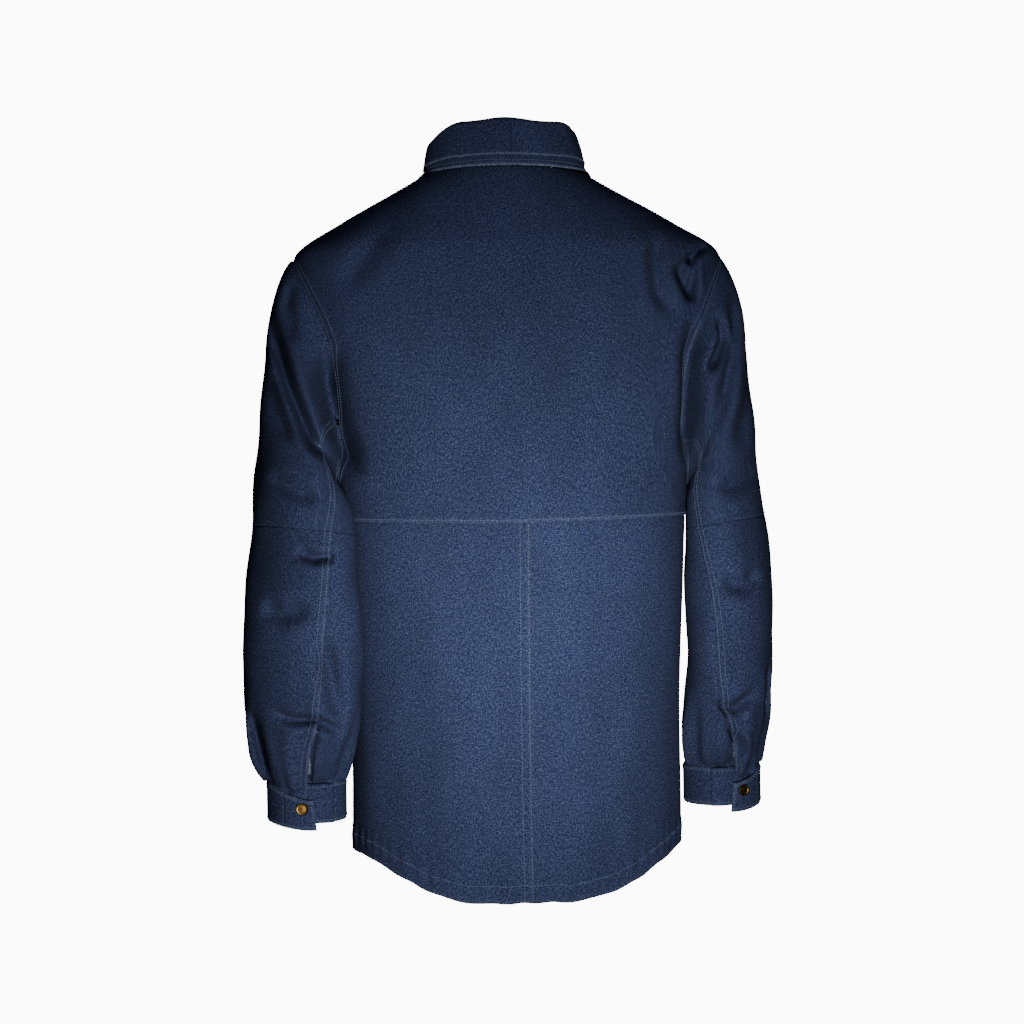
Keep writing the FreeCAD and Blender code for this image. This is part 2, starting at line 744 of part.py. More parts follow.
# ---- the jacket --------------------------------------------------------------------------
make_back_yoke()
make_back_panel(LEFT, "back_left")
make_back_panel(RIGHT, "back_right")
for side, word in ((LEFT, "left"), (RIGHT, "right")):
    step_in = 0.0 if side > 0 else under_step
    make_front_side(side, "front_%s_side" % word)
    make_fold_strip(side, "front_%s_fold" % word)
    make_front_panel(side, "front_%s" % word, step_in)
    make_facing(side, "facing_%s" % word, step_in)
    make_collar_stand(word, side, "collar_stand_%s" % word)
    make_collar_leaf(word, side, "collar_leaf_%s" % word)
    make_sleeve(side, word)
    make_cuff(side, word)
    make_vent(side, word)
make_collar_stand("back", LEFT, "collar_stand_back")
make_collar_leaf("back", LEFT, "collar_leaf_back")
make_neck_tape()
make_hang_loop()
make_front_snaps()

os.makedirs("parts", exist_ok=True)
for name, shape in parts.items():
    shape.exportStep(os.path.join("parts", name + ".step"))
    solids = shape.Solids
    state = "ok" if shape.isValid() and all(s.isClosed() for s in solids) else "BAD"
    print("%-28s %2d solids %9.0f mm3 %s" % (name, len(solids), shape.Volume, state))
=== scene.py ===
import bpy
import math
import numpy as np
from mathutils import Matrix, Vector


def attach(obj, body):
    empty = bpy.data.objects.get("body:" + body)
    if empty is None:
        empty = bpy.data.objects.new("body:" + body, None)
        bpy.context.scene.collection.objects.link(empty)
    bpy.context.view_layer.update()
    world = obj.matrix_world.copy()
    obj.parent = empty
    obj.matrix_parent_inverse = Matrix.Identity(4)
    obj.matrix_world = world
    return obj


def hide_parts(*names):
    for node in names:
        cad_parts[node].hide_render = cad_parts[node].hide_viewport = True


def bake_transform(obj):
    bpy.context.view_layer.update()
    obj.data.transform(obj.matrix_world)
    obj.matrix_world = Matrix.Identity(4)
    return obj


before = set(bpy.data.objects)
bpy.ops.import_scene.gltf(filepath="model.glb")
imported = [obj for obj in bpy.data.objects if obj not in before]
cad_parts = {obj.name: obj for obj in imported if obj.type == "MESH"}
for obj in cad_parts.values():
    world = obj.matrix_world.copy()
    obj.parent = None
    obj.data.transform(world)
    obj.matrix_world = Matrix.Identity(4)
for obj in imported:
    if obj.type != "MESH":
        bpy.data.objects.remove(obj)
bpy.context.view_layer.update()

# A denim work and welding jacket, as it hangs when worn.  Lengths are millimetres until a mesh
# is made.  +Z is up, the back faces +Y and the wearer's left arm is at +X.
MM = 0.001

# ---- sizes ----
body_length = 762.0
tail_drop = 44.0
yoke_drop = 370.0
yoke_rise = 6.0
shoulder_half = 228.0
shoulder_z = -92.0
underarm_z = -338.0
armhole_mid = (shoulder_z + underarm_z) / 2.0
armhole_high = (shoulder_z - underarm_z) / 2.0
armhole_half = 72.0
neck_half = 82.0
neck_back = 60.0
neck_front = 86.0
chest_half = 186.0
hem_half = 175.0
back_depth = 126.0
front_depth = 127.0
overlap_half = 20.0
facing_width = 52.0
facing_depth = 3.1          # from a front's outer face to its facing's
fold_top_x = 70.0
fold_hem_x = 108.0
fold_reach = 35.0
fold_flat = 18.0            # from the fold line to where a front starts to sink under the other
hem_side = -(body_length - tail_drop)
under_step = 7.7
stand_height = 44.0
stand_fall = 22.0
leaf_back = 50.0
leaf_point = 78.0
sleeve_drop = 548.0
cuff_height = 50.0
cuff_lift = 9.0             # the worn cuff's lower edge is drawn up by this
cuff_half = 42.0
cuff_depth = 45.0
cuff_x = shoulder_half - 3.0
cuff_top_z = shoulder_z - sleeve_drop - 1.0
tab_length = 34.0
tab_gap = 4.6
cad_cloth = 2.2
denim_thick = 1.3
lining_thick = 1.0
collar_thick = 1.8
cuff_thick = 2.6
stitch_pitch = 3.3
stitch_long = 2.5
thread_r = 0.42
fold_depth = 1.7            # the depths of the folds are given for soft ones; these are sharper
fold_points = 25            # along the path of one fold
seam_rows = 8.5             # between the two rows of a double-stitched seam

LEFT = 1.0
RIGHT = -1.0
word_of = {LEFT: "left", RIGHT: "right"}


# ---- curves ----
def mix(a, b, t):
    return a + (b - a) * t


def ramp(t):
    t = np.clip(t, 0.0, 1.0)
    return t * t * (3.0 - 2.0 * t)


def along(stations, x):
    """Smooth values between stations, rows of (place, value, ...) with places ascending."""
    rows = np.array(stations, float)
    places = rows[:, 0]
    x = np.clip(np.asarray(x, float), places[0], places[-1])
    i = np.clip(np.searchsorted(places, x, side="left") - 1, 0, len(places) - 2)
    before = np.maximum(i - 1, 0)
    after = np.minimum(i + 2, len(places) - 1)
    span = places[i + 1] - places[i]
    t = (x - places[i]) / span
    values = []
    for k in range(1, rows.shape[1]):
        v = rows[:, k]
        m1 = (v[i + 1] - v[before]) / (places[i + 1] - places[before]) * span
        m2 = (v[after] - v[i]) / (places[after] - places[i]) * span
        a = 2.0 * v[i] - 2.0 * v[i + 1] + m1 + m2
        b = -3.0 * v[i] + 3.0 * v[i + 1] - 2.0 * m1 - m2
        values.append(((a * t + b) * t + m1) * t + v[i])
    return values


def cos_sin(degrees):
    turn = np.radians(degrees)
    return np.cos(turn), np.sin(turn)


def stack(x, y, z):
    return np.stack(np.broadcast_arrays(x, y, z), axis=-1).astype(float)


def lengths(path):
    """How far along a path each of its points is."""
    steps = np.linalg.norm(np.diff(path, axis=0), axis=1)
    return np.concatenate([[0.0], np.cumsum(steps)])


def placed(path, length, at):
    """The points of a path at the given distances along it."""
    return np.stack([np.interp(at, length, path[:, k]) for k in range(path.shape[1])], axis=1)


def even(path, count, place_of=np.array):
    """Points of a path re-spaced evenly by the distance between the places that place_of gives."""
    path = np.array(path, float)
    length = lengths(place_of(path))
    return placed(path, length, np.linspace(0.0, length[-1], count))


def even_rows(rows, columns):
    """Rows of points re-spaced evenly along each row."""
    return np.array([even(row, columns) for row in rows])


def unit(v):
    return v / np.maximum(np.linalg.norm(v, axis=-1, keepdims=True), 1e-9)


# ---- the body's surface ----
# height, half width, depth at the back, depth at the front, squareness of the section
levels = [
    (-body_length, hem_half, back_depth - 4.0, front_depth + 9.0, 2.3),
    (-0.72 * body_length, hem_half + 2.0, back_depth - 2.0, front_depth + 6.0, 2.35),
    (underarm_z, chest_half, back_depth, front_depth, 2.6),
    (mix(shoulder_z, underarm_z, 0.45), mix(shoulder_half, chest_half, 0.55), back_depth - 7.0,
     front_depth - 10.0, 3.0),
    (shoulder_z, shoulder_half, back_depth - 25.0, front_depth - 24.0, 2.5),
    (mix(shoulder_z, 0.0, 0.4), mix(shoulder_half, neck_half, 0.34), mix(neck_back, back_depth, 0.42),
     neck_front - 2.0, 2.2),
    (mix(shoulder_z, 0.0, 0.85), mix(shoulder_half, neck_half, 0.84), neck_back + 8.0,
     neck_front - 25.0, 2.1),
    (0.0, neck_half, neck_back, neck_front - 35.0, 2.0),
]


def body_point(angle, z):
    """On the cloth: 90 is the centre back, 0 the wearer's left side and -90 the centre front."""
    half, back, front, power = along(levels, z)
    c, s = cos_sin(angle)
    depth = np.where(s > 0, back, front)
    x = half * np.sign(c) * np.abs(c) ** (2.0 / power)
    return stack(x, depth * np.sign(s) * np.abs(s) ** (2.0 / power), z)


def body_angle(y, z):
    half, back, front, power = along(levels, z)
    share = np.clip(np.abs(y) / np.where(y > 0, back, front), 0.0, 1.0) ** (power / 2.0)
    return np.sign(y) * np.degrees(np.arcsin(share))


def body_x(y, z):
    return body_point(body_angle(y, z), z)[..., 0]


def angle_at_x(x, z):
    half, back, front, power = along(levels, z)
    return -np.degrees(np.arccos(np.clip(x / half, 0.0, 1.0) ** (power / 2.0)))


def neck_height(x, y):
    low = np.full(np.shape(x), shoulder_z, float)
    high = np.zeros(np.shape(x))
    for step in range(30):
        z = (low + high) / 2.0
        half, back, front, power = along(levels, z)
        inside = (x / half) ** power + (np.abs(y) / np.where(y > 0, back, front)) ** power < 1.0
        low = np.where(inside, z, low)
        high = np.where(inside, high, z)
    return (low + high) / 2.0


def neck_point(turn):
    """The collar seam, from 90 at the centre back to -90 at the centre front."""
    c, s = cos_sin(turn)
    x = neck_half * c
    y = np.where(s > 0, neck_back, neck_front) * s
    z = np.where(s < 0, neck_height(x, y), 0.0)
    return stack(x, y, z)


def armhole_point(turn, scale=1.0, sink=0.0):
    """The armhole seam, from 0 at the shoulder round the back; or a larger one, sunk in."""
    c, s = cos_sin(turn)
    z = armhole_mid + armhole_high * scale * c
    y = armhole_half * scale * s
    return stack(body_x(y, z) - sink, y, z)


def yoke_seam(angle):
    return -yoke_drop + yoke_rise * (1.0 - np.abs(angle) / 90.0) ** 2


def hem_height(angle):
    return hem_side - tail_drop * ramp((angle - 15.0) / 65.0)


def side_edge(face, extra):
    """(angle, height) down the side edge of a back (1) or front (-1) piece."""
    edge = [(0.0, 0.0)]
    for step in range(1, 6):
        edge.append((0.0, shoulder_z * step / 5.0))
    for step in range(1, 24):
        p = armhole_point(face * 7.5 * step)
        edge.append((float(body_angle(p[1], p[2])), float(p[2])))
    edge.append((0.0, underarm_z))
    return edge + extra


def on_body(path):
    return body_point(path[:, 0], path[:, 1])


# ---- cloth ----
def add(name, data):
    obj = bpy.data.objects.new(name, data)
    bpy.context.scene.collection.objects.link(obj)
    return obj


def normals(grid):
    """Outward normals of a grid whose rows run clockwise seen from above, downwards in turn."""
    down = np.gradient(grid, axis=0)
    across = np.gradient(grid, axis=1)
    return unit(np.cross(across, down))


def lift(grid, height):
    """The cloth moved outwards by each point's height."""
    return grid + normals(grid) * np.asarray(height)[..., None]


def cloth_uv(grid):
    """Each point's place on the flat cloth, in metres: across from the middle column, down."""
    rows, cols = grid.shape[:2]
    step_u = np.linalg.norm(np.diff(grid, axis=1), axis=2)
    u = np.concatenate([np.zeros((rows, 1)), np.cumsum(step_u, axis=1)], axis=1)
    u = u - u[:, cols // 2][:, None]
    step_v = np.linalg.norm(np.diff(grid, axis=0), axis=2)
    v = np.concatenate([np.zeros((1, cols)), np.cumsum(step_v, axis=0)], axis=0)
    return np.stack([u * MM, -v * MM], axis=-1)


def cloth_piece(name, grid, thickness=denim_thick, joined=""):
    """A sheet of cloth with its wall and turned edges; a joined edge carries on into another sheet."""
    rows, cols = grid.shape[:2]
    out = normals(grid)
    roll = np.zeros((rows, cols, 1))
    roll[0] = roll[-1] = roll[:, 0] = roll[:, -1] = 0.3 * thickness
    if joined:
        row, col = {"top": (0, None), "bottom": (-1, None), "left": (None, 0), "right": (None, -1)}[joined]
        roll[slice(None) if row is None else row, slice(None) if col is None else col] = 0.0
    outer = grid - out * roll
    inner = grid - out * (thickness - roll)
    uv = cloth_uv(grid)
    count = rows * cols
    points = np.concatenate([outer.reshape(-1, 3), inner.reshape(-1, 3)]) * MM
    at = np.arange(count).reshape(rows, cols)
    a, b, c, d = at[:-1, :-1], at[:-1, 1:], at[1:, 1:], at[1:, :-1]
    face = np.stack([a, b, c, d], axis=-1).reshape(-1, 4)
    back = np.stack([a, d, c, b], axis=-1).reshape(-1, 4) + count
    rim_path = np.concatenate([at[0, :], at[1:, -1], at[-1, -2::-1], at[-2:0:-1, 0]])
    after = np.roll(rim_path, -1)
    rim = np.stack([rim_path, rim_path + count, after + count, after], axis=-1)
    faces = np.concatenate([face, back, rim])
    mesh = bpy.data.meshes.new(name)
    mesh.from_pydata(points.tolist(), [], faces.tolist())
    layer = mesh.uv_layers.new(name="cloth")
    loops = np.zeros(len(mesh.loops), np.int32)
    mesh.loops.foreach_get("vertex_index", loops)
    flat = uv.reshape(-1, 2)
    layer.data.foreach_set("uv", flat[loops % count].astype(np.float32).ravel())
    smooth = np.zeros(len(faces), bool)
    smooth[:len(face) + len(back)] = True
    mesh.polygons.foreach_set("use_smooth", smooth)
    where = np.zeros(len(faces), np.int32)
    where[len(face):len(face) + len(back)] = 1
    mesh.polygons.foreach_set("material_index", where)
    return add(name, mesh)


def crease(grid, creases):
    """Folds drawn by (x, z) places as seen from behind, pushed straight in where the cloth faces back."""
    seen = grid[..., [0, 2]]
    push = np.zeros(grid.shape[:2])
    for path, width, depth, lip in creases:
        path = np.array(path, float)
        path = placed(path, np.arange(len(path)), np.linspace(0, len(path) - 1, fold_points))
        path[1:-1] = (path[:-2] + 2.0 * path[1:-1] + path[2:]) / 4.0
        run = np.diff(path, axis=0)
        length = np.linalg.norm(run, axis=1)
        before = lengths(path)[:-1]
        near = np.full(push.shape, 1e9)
        share = np.zeros(push.shape)
        for start, step, l, b in zip(path, run, length, before):
            t = np.clip(((seen - start) @ step) / (l * l), 0.0, 1.0)
            distance = np.linalg.norm(seen - (start + t[..., None] * step), axis=-1)
            share = np.where(distance < near, (b + t * l) / length.sum(), share)
            near = np.minimum(near, distance)
        ends = ramp(share / 0.3) * ramp((1.0 - share) / 0.3)
        push += ends * (lip * np.exp(-((near - 2.1 * width) / (1.1 * width)) ** 2)
                        - fold_depth * depth * np.exp(-(near / width) ** 2))
    out = grid.copy()
    out[..., 1] += push * ramp(grid[..., 1] / 30.0)
    return out


def waves(grid, seed, size, height):
    """The slow unevenness of hanging cloth."""
    draw = np.random.default_rng(seed)
    total = np.zeros(grid.shape[:2])
    for k in range(7):
        direction = unit(draw.normal(size=3)) * (2.0 * math.pi / (size * draw.uniform(0.7, 1.9)))
        total += np.sin(grid @ direction + draw.uniform(0.0, 6.28))
    return lift(grid, total * height / 2.6)


def pucker(grid, distance, place, reach, height, pitch=11.0):
    """Small gathers along a seam; distance is from the seam and place is along it."""
    ripple = np.sin(place * 2.0 * math.pi / pitch + 1.7 * np.sin(place * 0.071))
    strength = np.exp(-(distance / reach) ** 2)
    return lift(grid, ripple * strength * height)


# ---- stitches ----
def stitch_shape():
    """One stitch along +X: a short rounded thread that dips into the cloth at its ends."""
    points = []
    for x, r, lift in ((-0.5, 0.35, -0.45), (-0.36, 0.85, 0.0), (0.0, 1.0, 0.15), (0.36, 0.85, 0.0),
                       (0.5, 0.35, -0.45)):
        for k in range(5):
            a = 2.0 * math.pi * k / 5.0
            points.append((x, r * math.cos(a), r * math.sin(a) + lift))
    faces = [(4, 3, 2, 1, 0), (20, 21, 22, 23, 24)]
    for ring in range(4):
        for k in range(5):
            a = ring * 5 + k
            b = ring * 5 + (k + 1) % 5
            faces.append((a, b, b + 5, a + 5))
    return np.array(points), faces


stitch_points, stitch_faces = stitch_shape()


def sample(values, r, c):
    """Values of a grid at fractional rows and columns."""
    r = np.clip(np.asarray(r, float), 0.0, values.shape[0] - 1.001)
    c = np.clip(np.asarray(c, float), 0.0, values.shape[1] - 1.001)
    i, j = r.astype(int), c.astype(int)
    u, v = r - i, c - j
    if values.ndim == 3:
        u, v = u[:, None], v[:, None]
    top = values[i, j] * (1.0 - v) + values[i, j + 1] * v
    low = values[i + 1, j] * (1.0 - v) + values[i + 1, j + 1] * v
    return top * (1.0 - u) + low * u


def stitch_line(grid, share, r, c):
    """Stitches over a line of fractional rows and columns: their points and blend shares."""
    path = sample(grid, r, c)
    out = sample(normals(grid), r, c)
    weight = sample(share, r, c)
    length = lengths(path)
    count = max(1, int(length[-1] / stitch_pitch))
    at = (np.arange(count) + 0.5) * length[-1] / count
    middle = placed(path, length, at)
    half = 0.48 * stitch_long
    forward = unit(placed(path, length, at + half) - placed(path, length, at - half))
    up = unit(placed(out, length, at))
    side = unit(np.cross(up, forward))
    up = unit(np.cross(forward, side))
    local = stitch_points * np.array([stitch_long, thread_r, thread_r])
    points = (middle[:, None, :] + local[None, :, 0:1] * forward[:, None, :]
              + local[None, :, 1:2] * side[:, None, :] + (local[None, :, 2:3] + 0.1) * up[:, None, :])
    weights = np.repeat(np.interp(at, length, weight), len(stitch_points))
    return points.reshape(-1, 3), weights


def stitch_away(grid, share, edge, distance, first=0.0, last=1e9):
    """A row of stitches that keeps a distance from one edge of the grid."""
    far = edge_distance(grid, edge)
    upright = edge in ("left", "right")
    if upright:
        far = far.T
    along_edge = np.arange(max(first, 0.0), min(last, far.shape[1] - 1.0) + 0.01)
    order = np.arange(far.shape[0])
    if edge in ("bottom", "right"):
        order = order[::-1]
    away = np.array([np.interp(distance, far[order, int(j)], order) for j in along_edge], float)
    r, c = (along_edge, away) if upright else (away, along_edge)
    return stitch_line(grid, share, r, c)


def edge_distance(grid, edge):
    """Each point's distance along the grid from one of its edges."""
    if edge in ("left", "right"):
        return edge_distance(grid.swapaxes(0, 1), "top" if edge == "left" else "bottom").T
    steps = np.linalg.norm(np.diff(grid, axis=0), axis=2)
    far = np.concatenate([np.zeros((1, grid.shape[1])), np.cumsum(steps, axis=0)])
    return far if edge == "top" else far[-1:] - far


def thread_piece(name, rows):
    """All the given rows of stitches as one piece."""
    points = np.concatenate([row[0] for row in rows])
    count = len(points) // len(stitch_points)
    faces = []
    for k in range(count):
        shift = k * len(stitch_points)
        faces.extend([tuple(v + shift for v in face) for face in stitch_faces])
    mesh = bpy.data.meshes.new(name)
    mesh.from_pydata((points * MM).tolist(), [], faces)
    mesh.polygons.foreach_set("use_smooth", np.ones(len(faces), bool))
    mesh.materials.append(thread)
    obj = add(name, mesh)
    return obj


# ---- finishes ----
def fill(made, values):
    """Gives sockets, by name or number, a plain value or a link from another node."""
    for key, value in values.items():
        if isinstance(value, bpy.types.NodeSocket):
            made.id_data.links.new(value, made.inputs[key])
        else:
            made.inputs[key].default_value = value


def node(tree, kind, inputs, **settings):
    made = tree.nodes.new(kind)
    for key, value in settings.items():
        setattr(made, key, value)
    fill(made, inputs)
    return made


def new_material(name):
    material = bpy.data.materials.new(name)
    material.use_nodes = True
    return material, material.node_tree, material.node_tree.nodes["Principled BSDF"]


def denim_group():
    """Indigo warp over pale weft: flecks, slubs, a fine twill line and slow changes of tone."""
    group = bpy.data.node_groups.new("woven_denim", "ShaderNodeTree")
    for name, kind, value in (("Place", "NodeSocketVector", None),
                              ("Deep", "NodeSocketColor", (0.01, 0.02, 0.06, 1.0)),
                              ("Pale", "NodeSocketColor", (0.3, 0.36, 0.5, 1.0)),
                              ("Fleck", "NodeSocketFloat", 0.3), ("Worn", "NodeSocketFloat", 0.0)):
        socket = group.interface.new_socket(name, in_out="INPUT", socket_type=kind)
        if value is not None:
            socket.default_value = value
    for name, kind in (("Color", "NodeSocketColor"), ("Roughness", "NodeSocketFloat"),
                       ("Height", "NodeSocketFloat")):
        group.interface.new_socket(name, in_out="OUTPUT", socket_type=kind)
    start = group.nodes.new("NodeGroupInput").outputs

    def scaled(across, down):
        """The place on the cloth with so many grains to the metre each way."""
        return node(group, "ShaderNodeVectorMath", {0: start["Place"], 1: (across, down, 1.0)},
                    operation="MULTIPLY").outputs[0]

    def noise(across, down, detail, low, high):
        """Noise of that grain, with low to high spread over 0 to 1."""
        made = node(group, "ShaderNodeTexNoise", {"Vector": scaled(across, down), "Scale": 1.0,
                                                  "Detail": detail, "Roughness": 0.65})
        return node(group, "ShaderNodeMapRange", {"Value": made.outputs["Fac"], "From Min": low,
                                                  "From Max": high}).outputs["Result"]

    def calc(kind, a, b):
        return node(group, "ShaderNodeMath", {0: a, 1: b}, operation=kind).outputs[0]

    def mixed(factor, a, b, blend="MIX"):
        return node(group, "ShaderNodeMix", {0: factor, 6: a, 7: b}, data_type="RGBA",
                    blend_type=blend).outputs[2]

    # flecks all over, slubs that run down, weft that runs across, and slow drifts of tone
    fleck = noise(700.0, 700.0, 3.0, 0.50, 0.64)
    slub = noise(760.0, 240.0, 2.0, 0.46, 0.76)
    weft = noise(260.0, 800.0, 2.0, 0.48, 0.78)
    tone = noise(16.0, 9.0, 4.0, 0.30, 0.75)
    twill_line = node(group, "ShaderNodeTexWave", {"Vector": scaled(300.0, 300.0), "Scale": 1.0,
                                                   "Distortion": 1.2, "Detail": 1.0},
                      bands_direction="DIAGONAL").outputs["Fac"]
    grain = calc("ADD", calc("MULTIPLY", fleck, 0.55),
                 calc("ADD", calc("MULTIPLY", slub, 0.30), calc("MULTIPLY", weft, 0.30)))
    pale_share = calc("ADD", calc("MULTIPLY", grain, start["Fleck"]),
                      calc("MULTIPLY", calc("MULTIPLY", start["Worn"], 0.40),
                           calc("ADD", 0.35, fleck)))
    grey = node(group, "ShaderNodeCombineColor", {0: tone, 1: tone, 2: tone}).outputs[0]
    colour = mixed(0.30, mixed(pale_share, start["Deep"], start["Pale"]), grey, "MULTIPLY")
    node(group, "NodeGroupOutput", {
        "Color": colour,
        "Roughness": calc("SUBTRACT", 0.93, calc("MULTIPLY", grain, 0.10)),
        "Height": calc("ADD", calc("MULTIPLY", twill_line, 0.35), grain)})
    return group


woven_denim = denim_group()


def denim(name, deep, pale, fleck, sheen):
    """A face of the cloth: the weave follows its flat places, and is paler where it is worn."""
    material, tree, shader = new_material(name)
    place = node(tree, "ShaderNodeUVMap", {}, uv_map="cloth").outputs[0]
    worn = node(tree, "ShaderNodeAttribute", {}, attribute_name="worn").outputs["Fac"]
    weave = node(tree, "ShaderNodeGroup", {}, node_tree=woven_denim)
    fill(weave, {"Place": place, "Worn": worn, "Deep": deep + (1.0,), "Pale": pale + (1.0,),
                 "Fleck": fleck})
    bump = node(tree, "ShaderNodeBump", {"Height": weave.outputs["Height"], "Strength": 0.55,
                                         "Distance": 0.00035})
    fill(shader, {"Base Color": weave.outputs["Color"], "Roughness": weave.outputs["Roughness"],
                  "Normal": bump.outputs["Normal"], "Specular IOR Level": 0.18,
                  "Sheen Weight": sheen, "Sheen Roughness": 0.45,
                  "Sheen Tint": (0.62, 0.72, 1.0, 1.0)})
    return material


def plain(name, colour, spread, rough, metal, scale, bump_height):
    """Thread or metal: a base colour that drifts over the piece, with a fine grain."""
    material, tree, shader = new_material(name)
    place = node(tree, "ShaderNodeTexCoord", {}).outputs["Object"]
    speck = node(tree, "ShaderNodeTexNoise", {"Vector": place, "Scale": scale, "Detail": 4.0,
                                              "Roughness": 0.6}).outputs["Fac"]
    tone = node(tree, "ShaderNodeMix", {0: speck, 6: tuple(c * (1.0 - spread) for c in colour) + (1.0,),
                                        7: tuple(min(1.0, c * (1.0 + spread)) for c in colour) + (1.0,)},
                data_type="RGBA")
    rough_span = node(tree, "ShaderNodeMapRange", {"Value": speck, "To Min": rough - 0.12,
                                                   "To Max": rough + 0.12})
    bump = node(tree, "ShaderNodeBump", {"Height": speck, "Strength": 0.5, "Distance": bump_height})
    fill(shader, {"Base Color": tone.outputs[2], "Roughness": rough_span.outputs["Result"],
                  "Normal": bump.outputs["Normal"], "Metallic": metal})
    return material


DEEP_INDIGO = (0.0016, 0.0058, 0.036)
PALE_WEFT = (0.26, 0.31, 0.46)
denim_face = denim("denim_face", DEEP_INDIGO, PALE_WEFT, 0.33, 0.0)
denim_back = denim("denim_back", (0.045, 0.06, 0.10), (0.36, 0.41, 0.50), 0.9, 0.05)
thread = plain("pale_thread", (0.055, 0.075, 0.13), 0.6, 0.75, 0.0, 900.0, 0.0001)
brass = plain("antique_brass", (0.15, 0.085, 0.022), 0.6, 0.38, 1.0, 420.0, 0.0001)
snap_metal = plain("snap_metal", (0.42, 0.34, 0.19), 0.3, 0.36, 1.0, 500.0, 0.0001)


def finish_cloth(obj, pattern, nodes, slot, worn):
    """Gives a piece of cloth its finish and its worn level, works out its flat size, and hides the solids
    it stands for.
    """
    obj.data.materials.append(denim_face if slot == "denim" else denim_back)
    obj.data.materials.append(denim_back)
    count = len(obj.data.vertices) // 2
    level = np.zeros(2 * count, np.float32)
    if worn is not None:
        level[:count] = worn.ravel()
        level[count:] = worn.ravel()
    obj.data.attributes.new("worn", "FLOAT", "POINT").data.foreach_set("value", level)
    width = np.linalg.norm(np.diff(pattern, axis=1), axis=2).sum(axis=1).max() * MM
    length = np.linalg.norm(np.diff(pattern, axis=0), axis=2).sum(axis=0).max() * MM
    width, length = round(width, 4), round(length, 4)
    if nodes:
        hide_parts(*nodes)


def bind(obj, bodies, share):
    """obj rides on one body; given two, only its transform is baked into its mesh, and the shares are not
    used.
    """
    if isinstance(bodies, str):
        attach(obj, bodies)
        return
    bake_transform(obj)
    share = np.asarray(share, np.float32).ravel()
    if len(share) * 2 == len(obj.data.vertices):
        share = np.concatenate([share, share])


def cloth(name, grid, pattern, bodies, nodes, share=None, rows=(), worn=None, thickness=denim_thick,
          slot="denim", joined=""):
    """A piece of cloth, set on its body when it has just one; rows are its stitches, each (edge, distance,
    first, last).
    """
    if share is None:
        share = np.zeros(grid.shape[:2])
    obj = cloth_piece(name, grid, thickness, joined)
    finish_cloth(obj, pattern, nodes, slot, worn)
    bind(obj, bodies, share)
    if rows:
        lines = [stitch_away(grid, share, *row) for row in rows]
        sewn = thread_piece(name + "_stitches", lines)
        bind(sewn, bodies, np.concatenate([line[1] for line in lines]))


def for_side(grid, side):
    """A left-hand grid, or its mirror image for the right-hand side."""
    if side > 0:
        return grid
    flipped = grid[:, ::-1].copy()
    flipped[..., 0] *= -1.0
    return flipped


def wear(grid, sides, reach=3.0, most=0.25):
    """Paleness at the named edges of a grid, fading to 0 within reach."""
    level = np.zeros(grid.shape[:2])
    for side in sides:
        level = np.maximum(level, np.exp(-(edge_distance(grid, side) / reach) ** 2))
    return level * most


def raise_edge(grid, side, width, height):
    """Cloth within width of an edge stands off by height, as over a seam's turned layers."""
    rise = 1.0 - ramp((edge_distance(grid, side) - width) / 3.0)
    return lift(grid, rise * height)


def drape(grid):
    """Long shallow folds that grow towards the hem."""
    turn = np.arctan2(grid[..., 1], grid[..., 0])
    strength = ramp((-390.0 - grid[..., 2]) / 330.0)
    fold = 0.6 * np.sin(7.0 * turn + 0.9) + 0.4 * np.sin(13.0 * turn + 2.2) + 0.25 * np.sin(22.0 * turn)
    return lift(grid, fold * strength * 1.9 - strength * 1.0)


def settle(grid):
    """What all the body's panels share: sunk a hair into the solid, then waved and draped."""
    return drape(waves(lift(grid, -sunk_face), 3, 150.0, 0.9))


# ---- back ----
seam_lap = 5.0
lap_height = 1.0
sunk_face = 0.25            # the cloth's face lies this far inside the solid it stands for
first_row = 2.4             # a seam's outer edge to its first row of stitches
hem_row = 18.0


def double_rows(edge, first=0.0, last=1e9, apart=seam_rows):
    return [(edge, first_row, first, last), (edge, first_row + apart, first, last)]


# hollows that the yoke and the sleeves share: places seen from behind, width, depth, lip beside
armhole_folds = {
    LEFT: [([(194, -182), (196, -225), (188, -268), (170, -312), (166, -330)], 11.0, 27.0, 0.0),
           ([(256, -140), (248, -182), (234, -232), (212, -290), (178, -316)], 6.5, 19.0, 4.0),
           ([(120, -60), (150, -90), (182, -140)], 12.0, 3.0, 1.5)],
    RIGHT: [([(-191, -156), (-184, -205), (-184, -255), (-178, -320)], 9.0, 27.0, 0.0),
            ([(-170, -104), (-178, -122), (-190, -150)], 7.0, 14.0, 2.0),
            ([(-189, -92), (-190, -110), (-188, -140)], 3.6, 10.0, 2.0),
            ([(-214, -80), (-194, -94), (-172, -112)], 4.5, 8.0, 2.5),
            ([(-215, -158), (-222, -184), (-212, -206), (-198, -226)], 5.0, 15.0, 4.0),
            ([(-152, -68), (-145, -105), (-148, -140), (-166, -170)], 8.0, 5.0, 2.5)]}


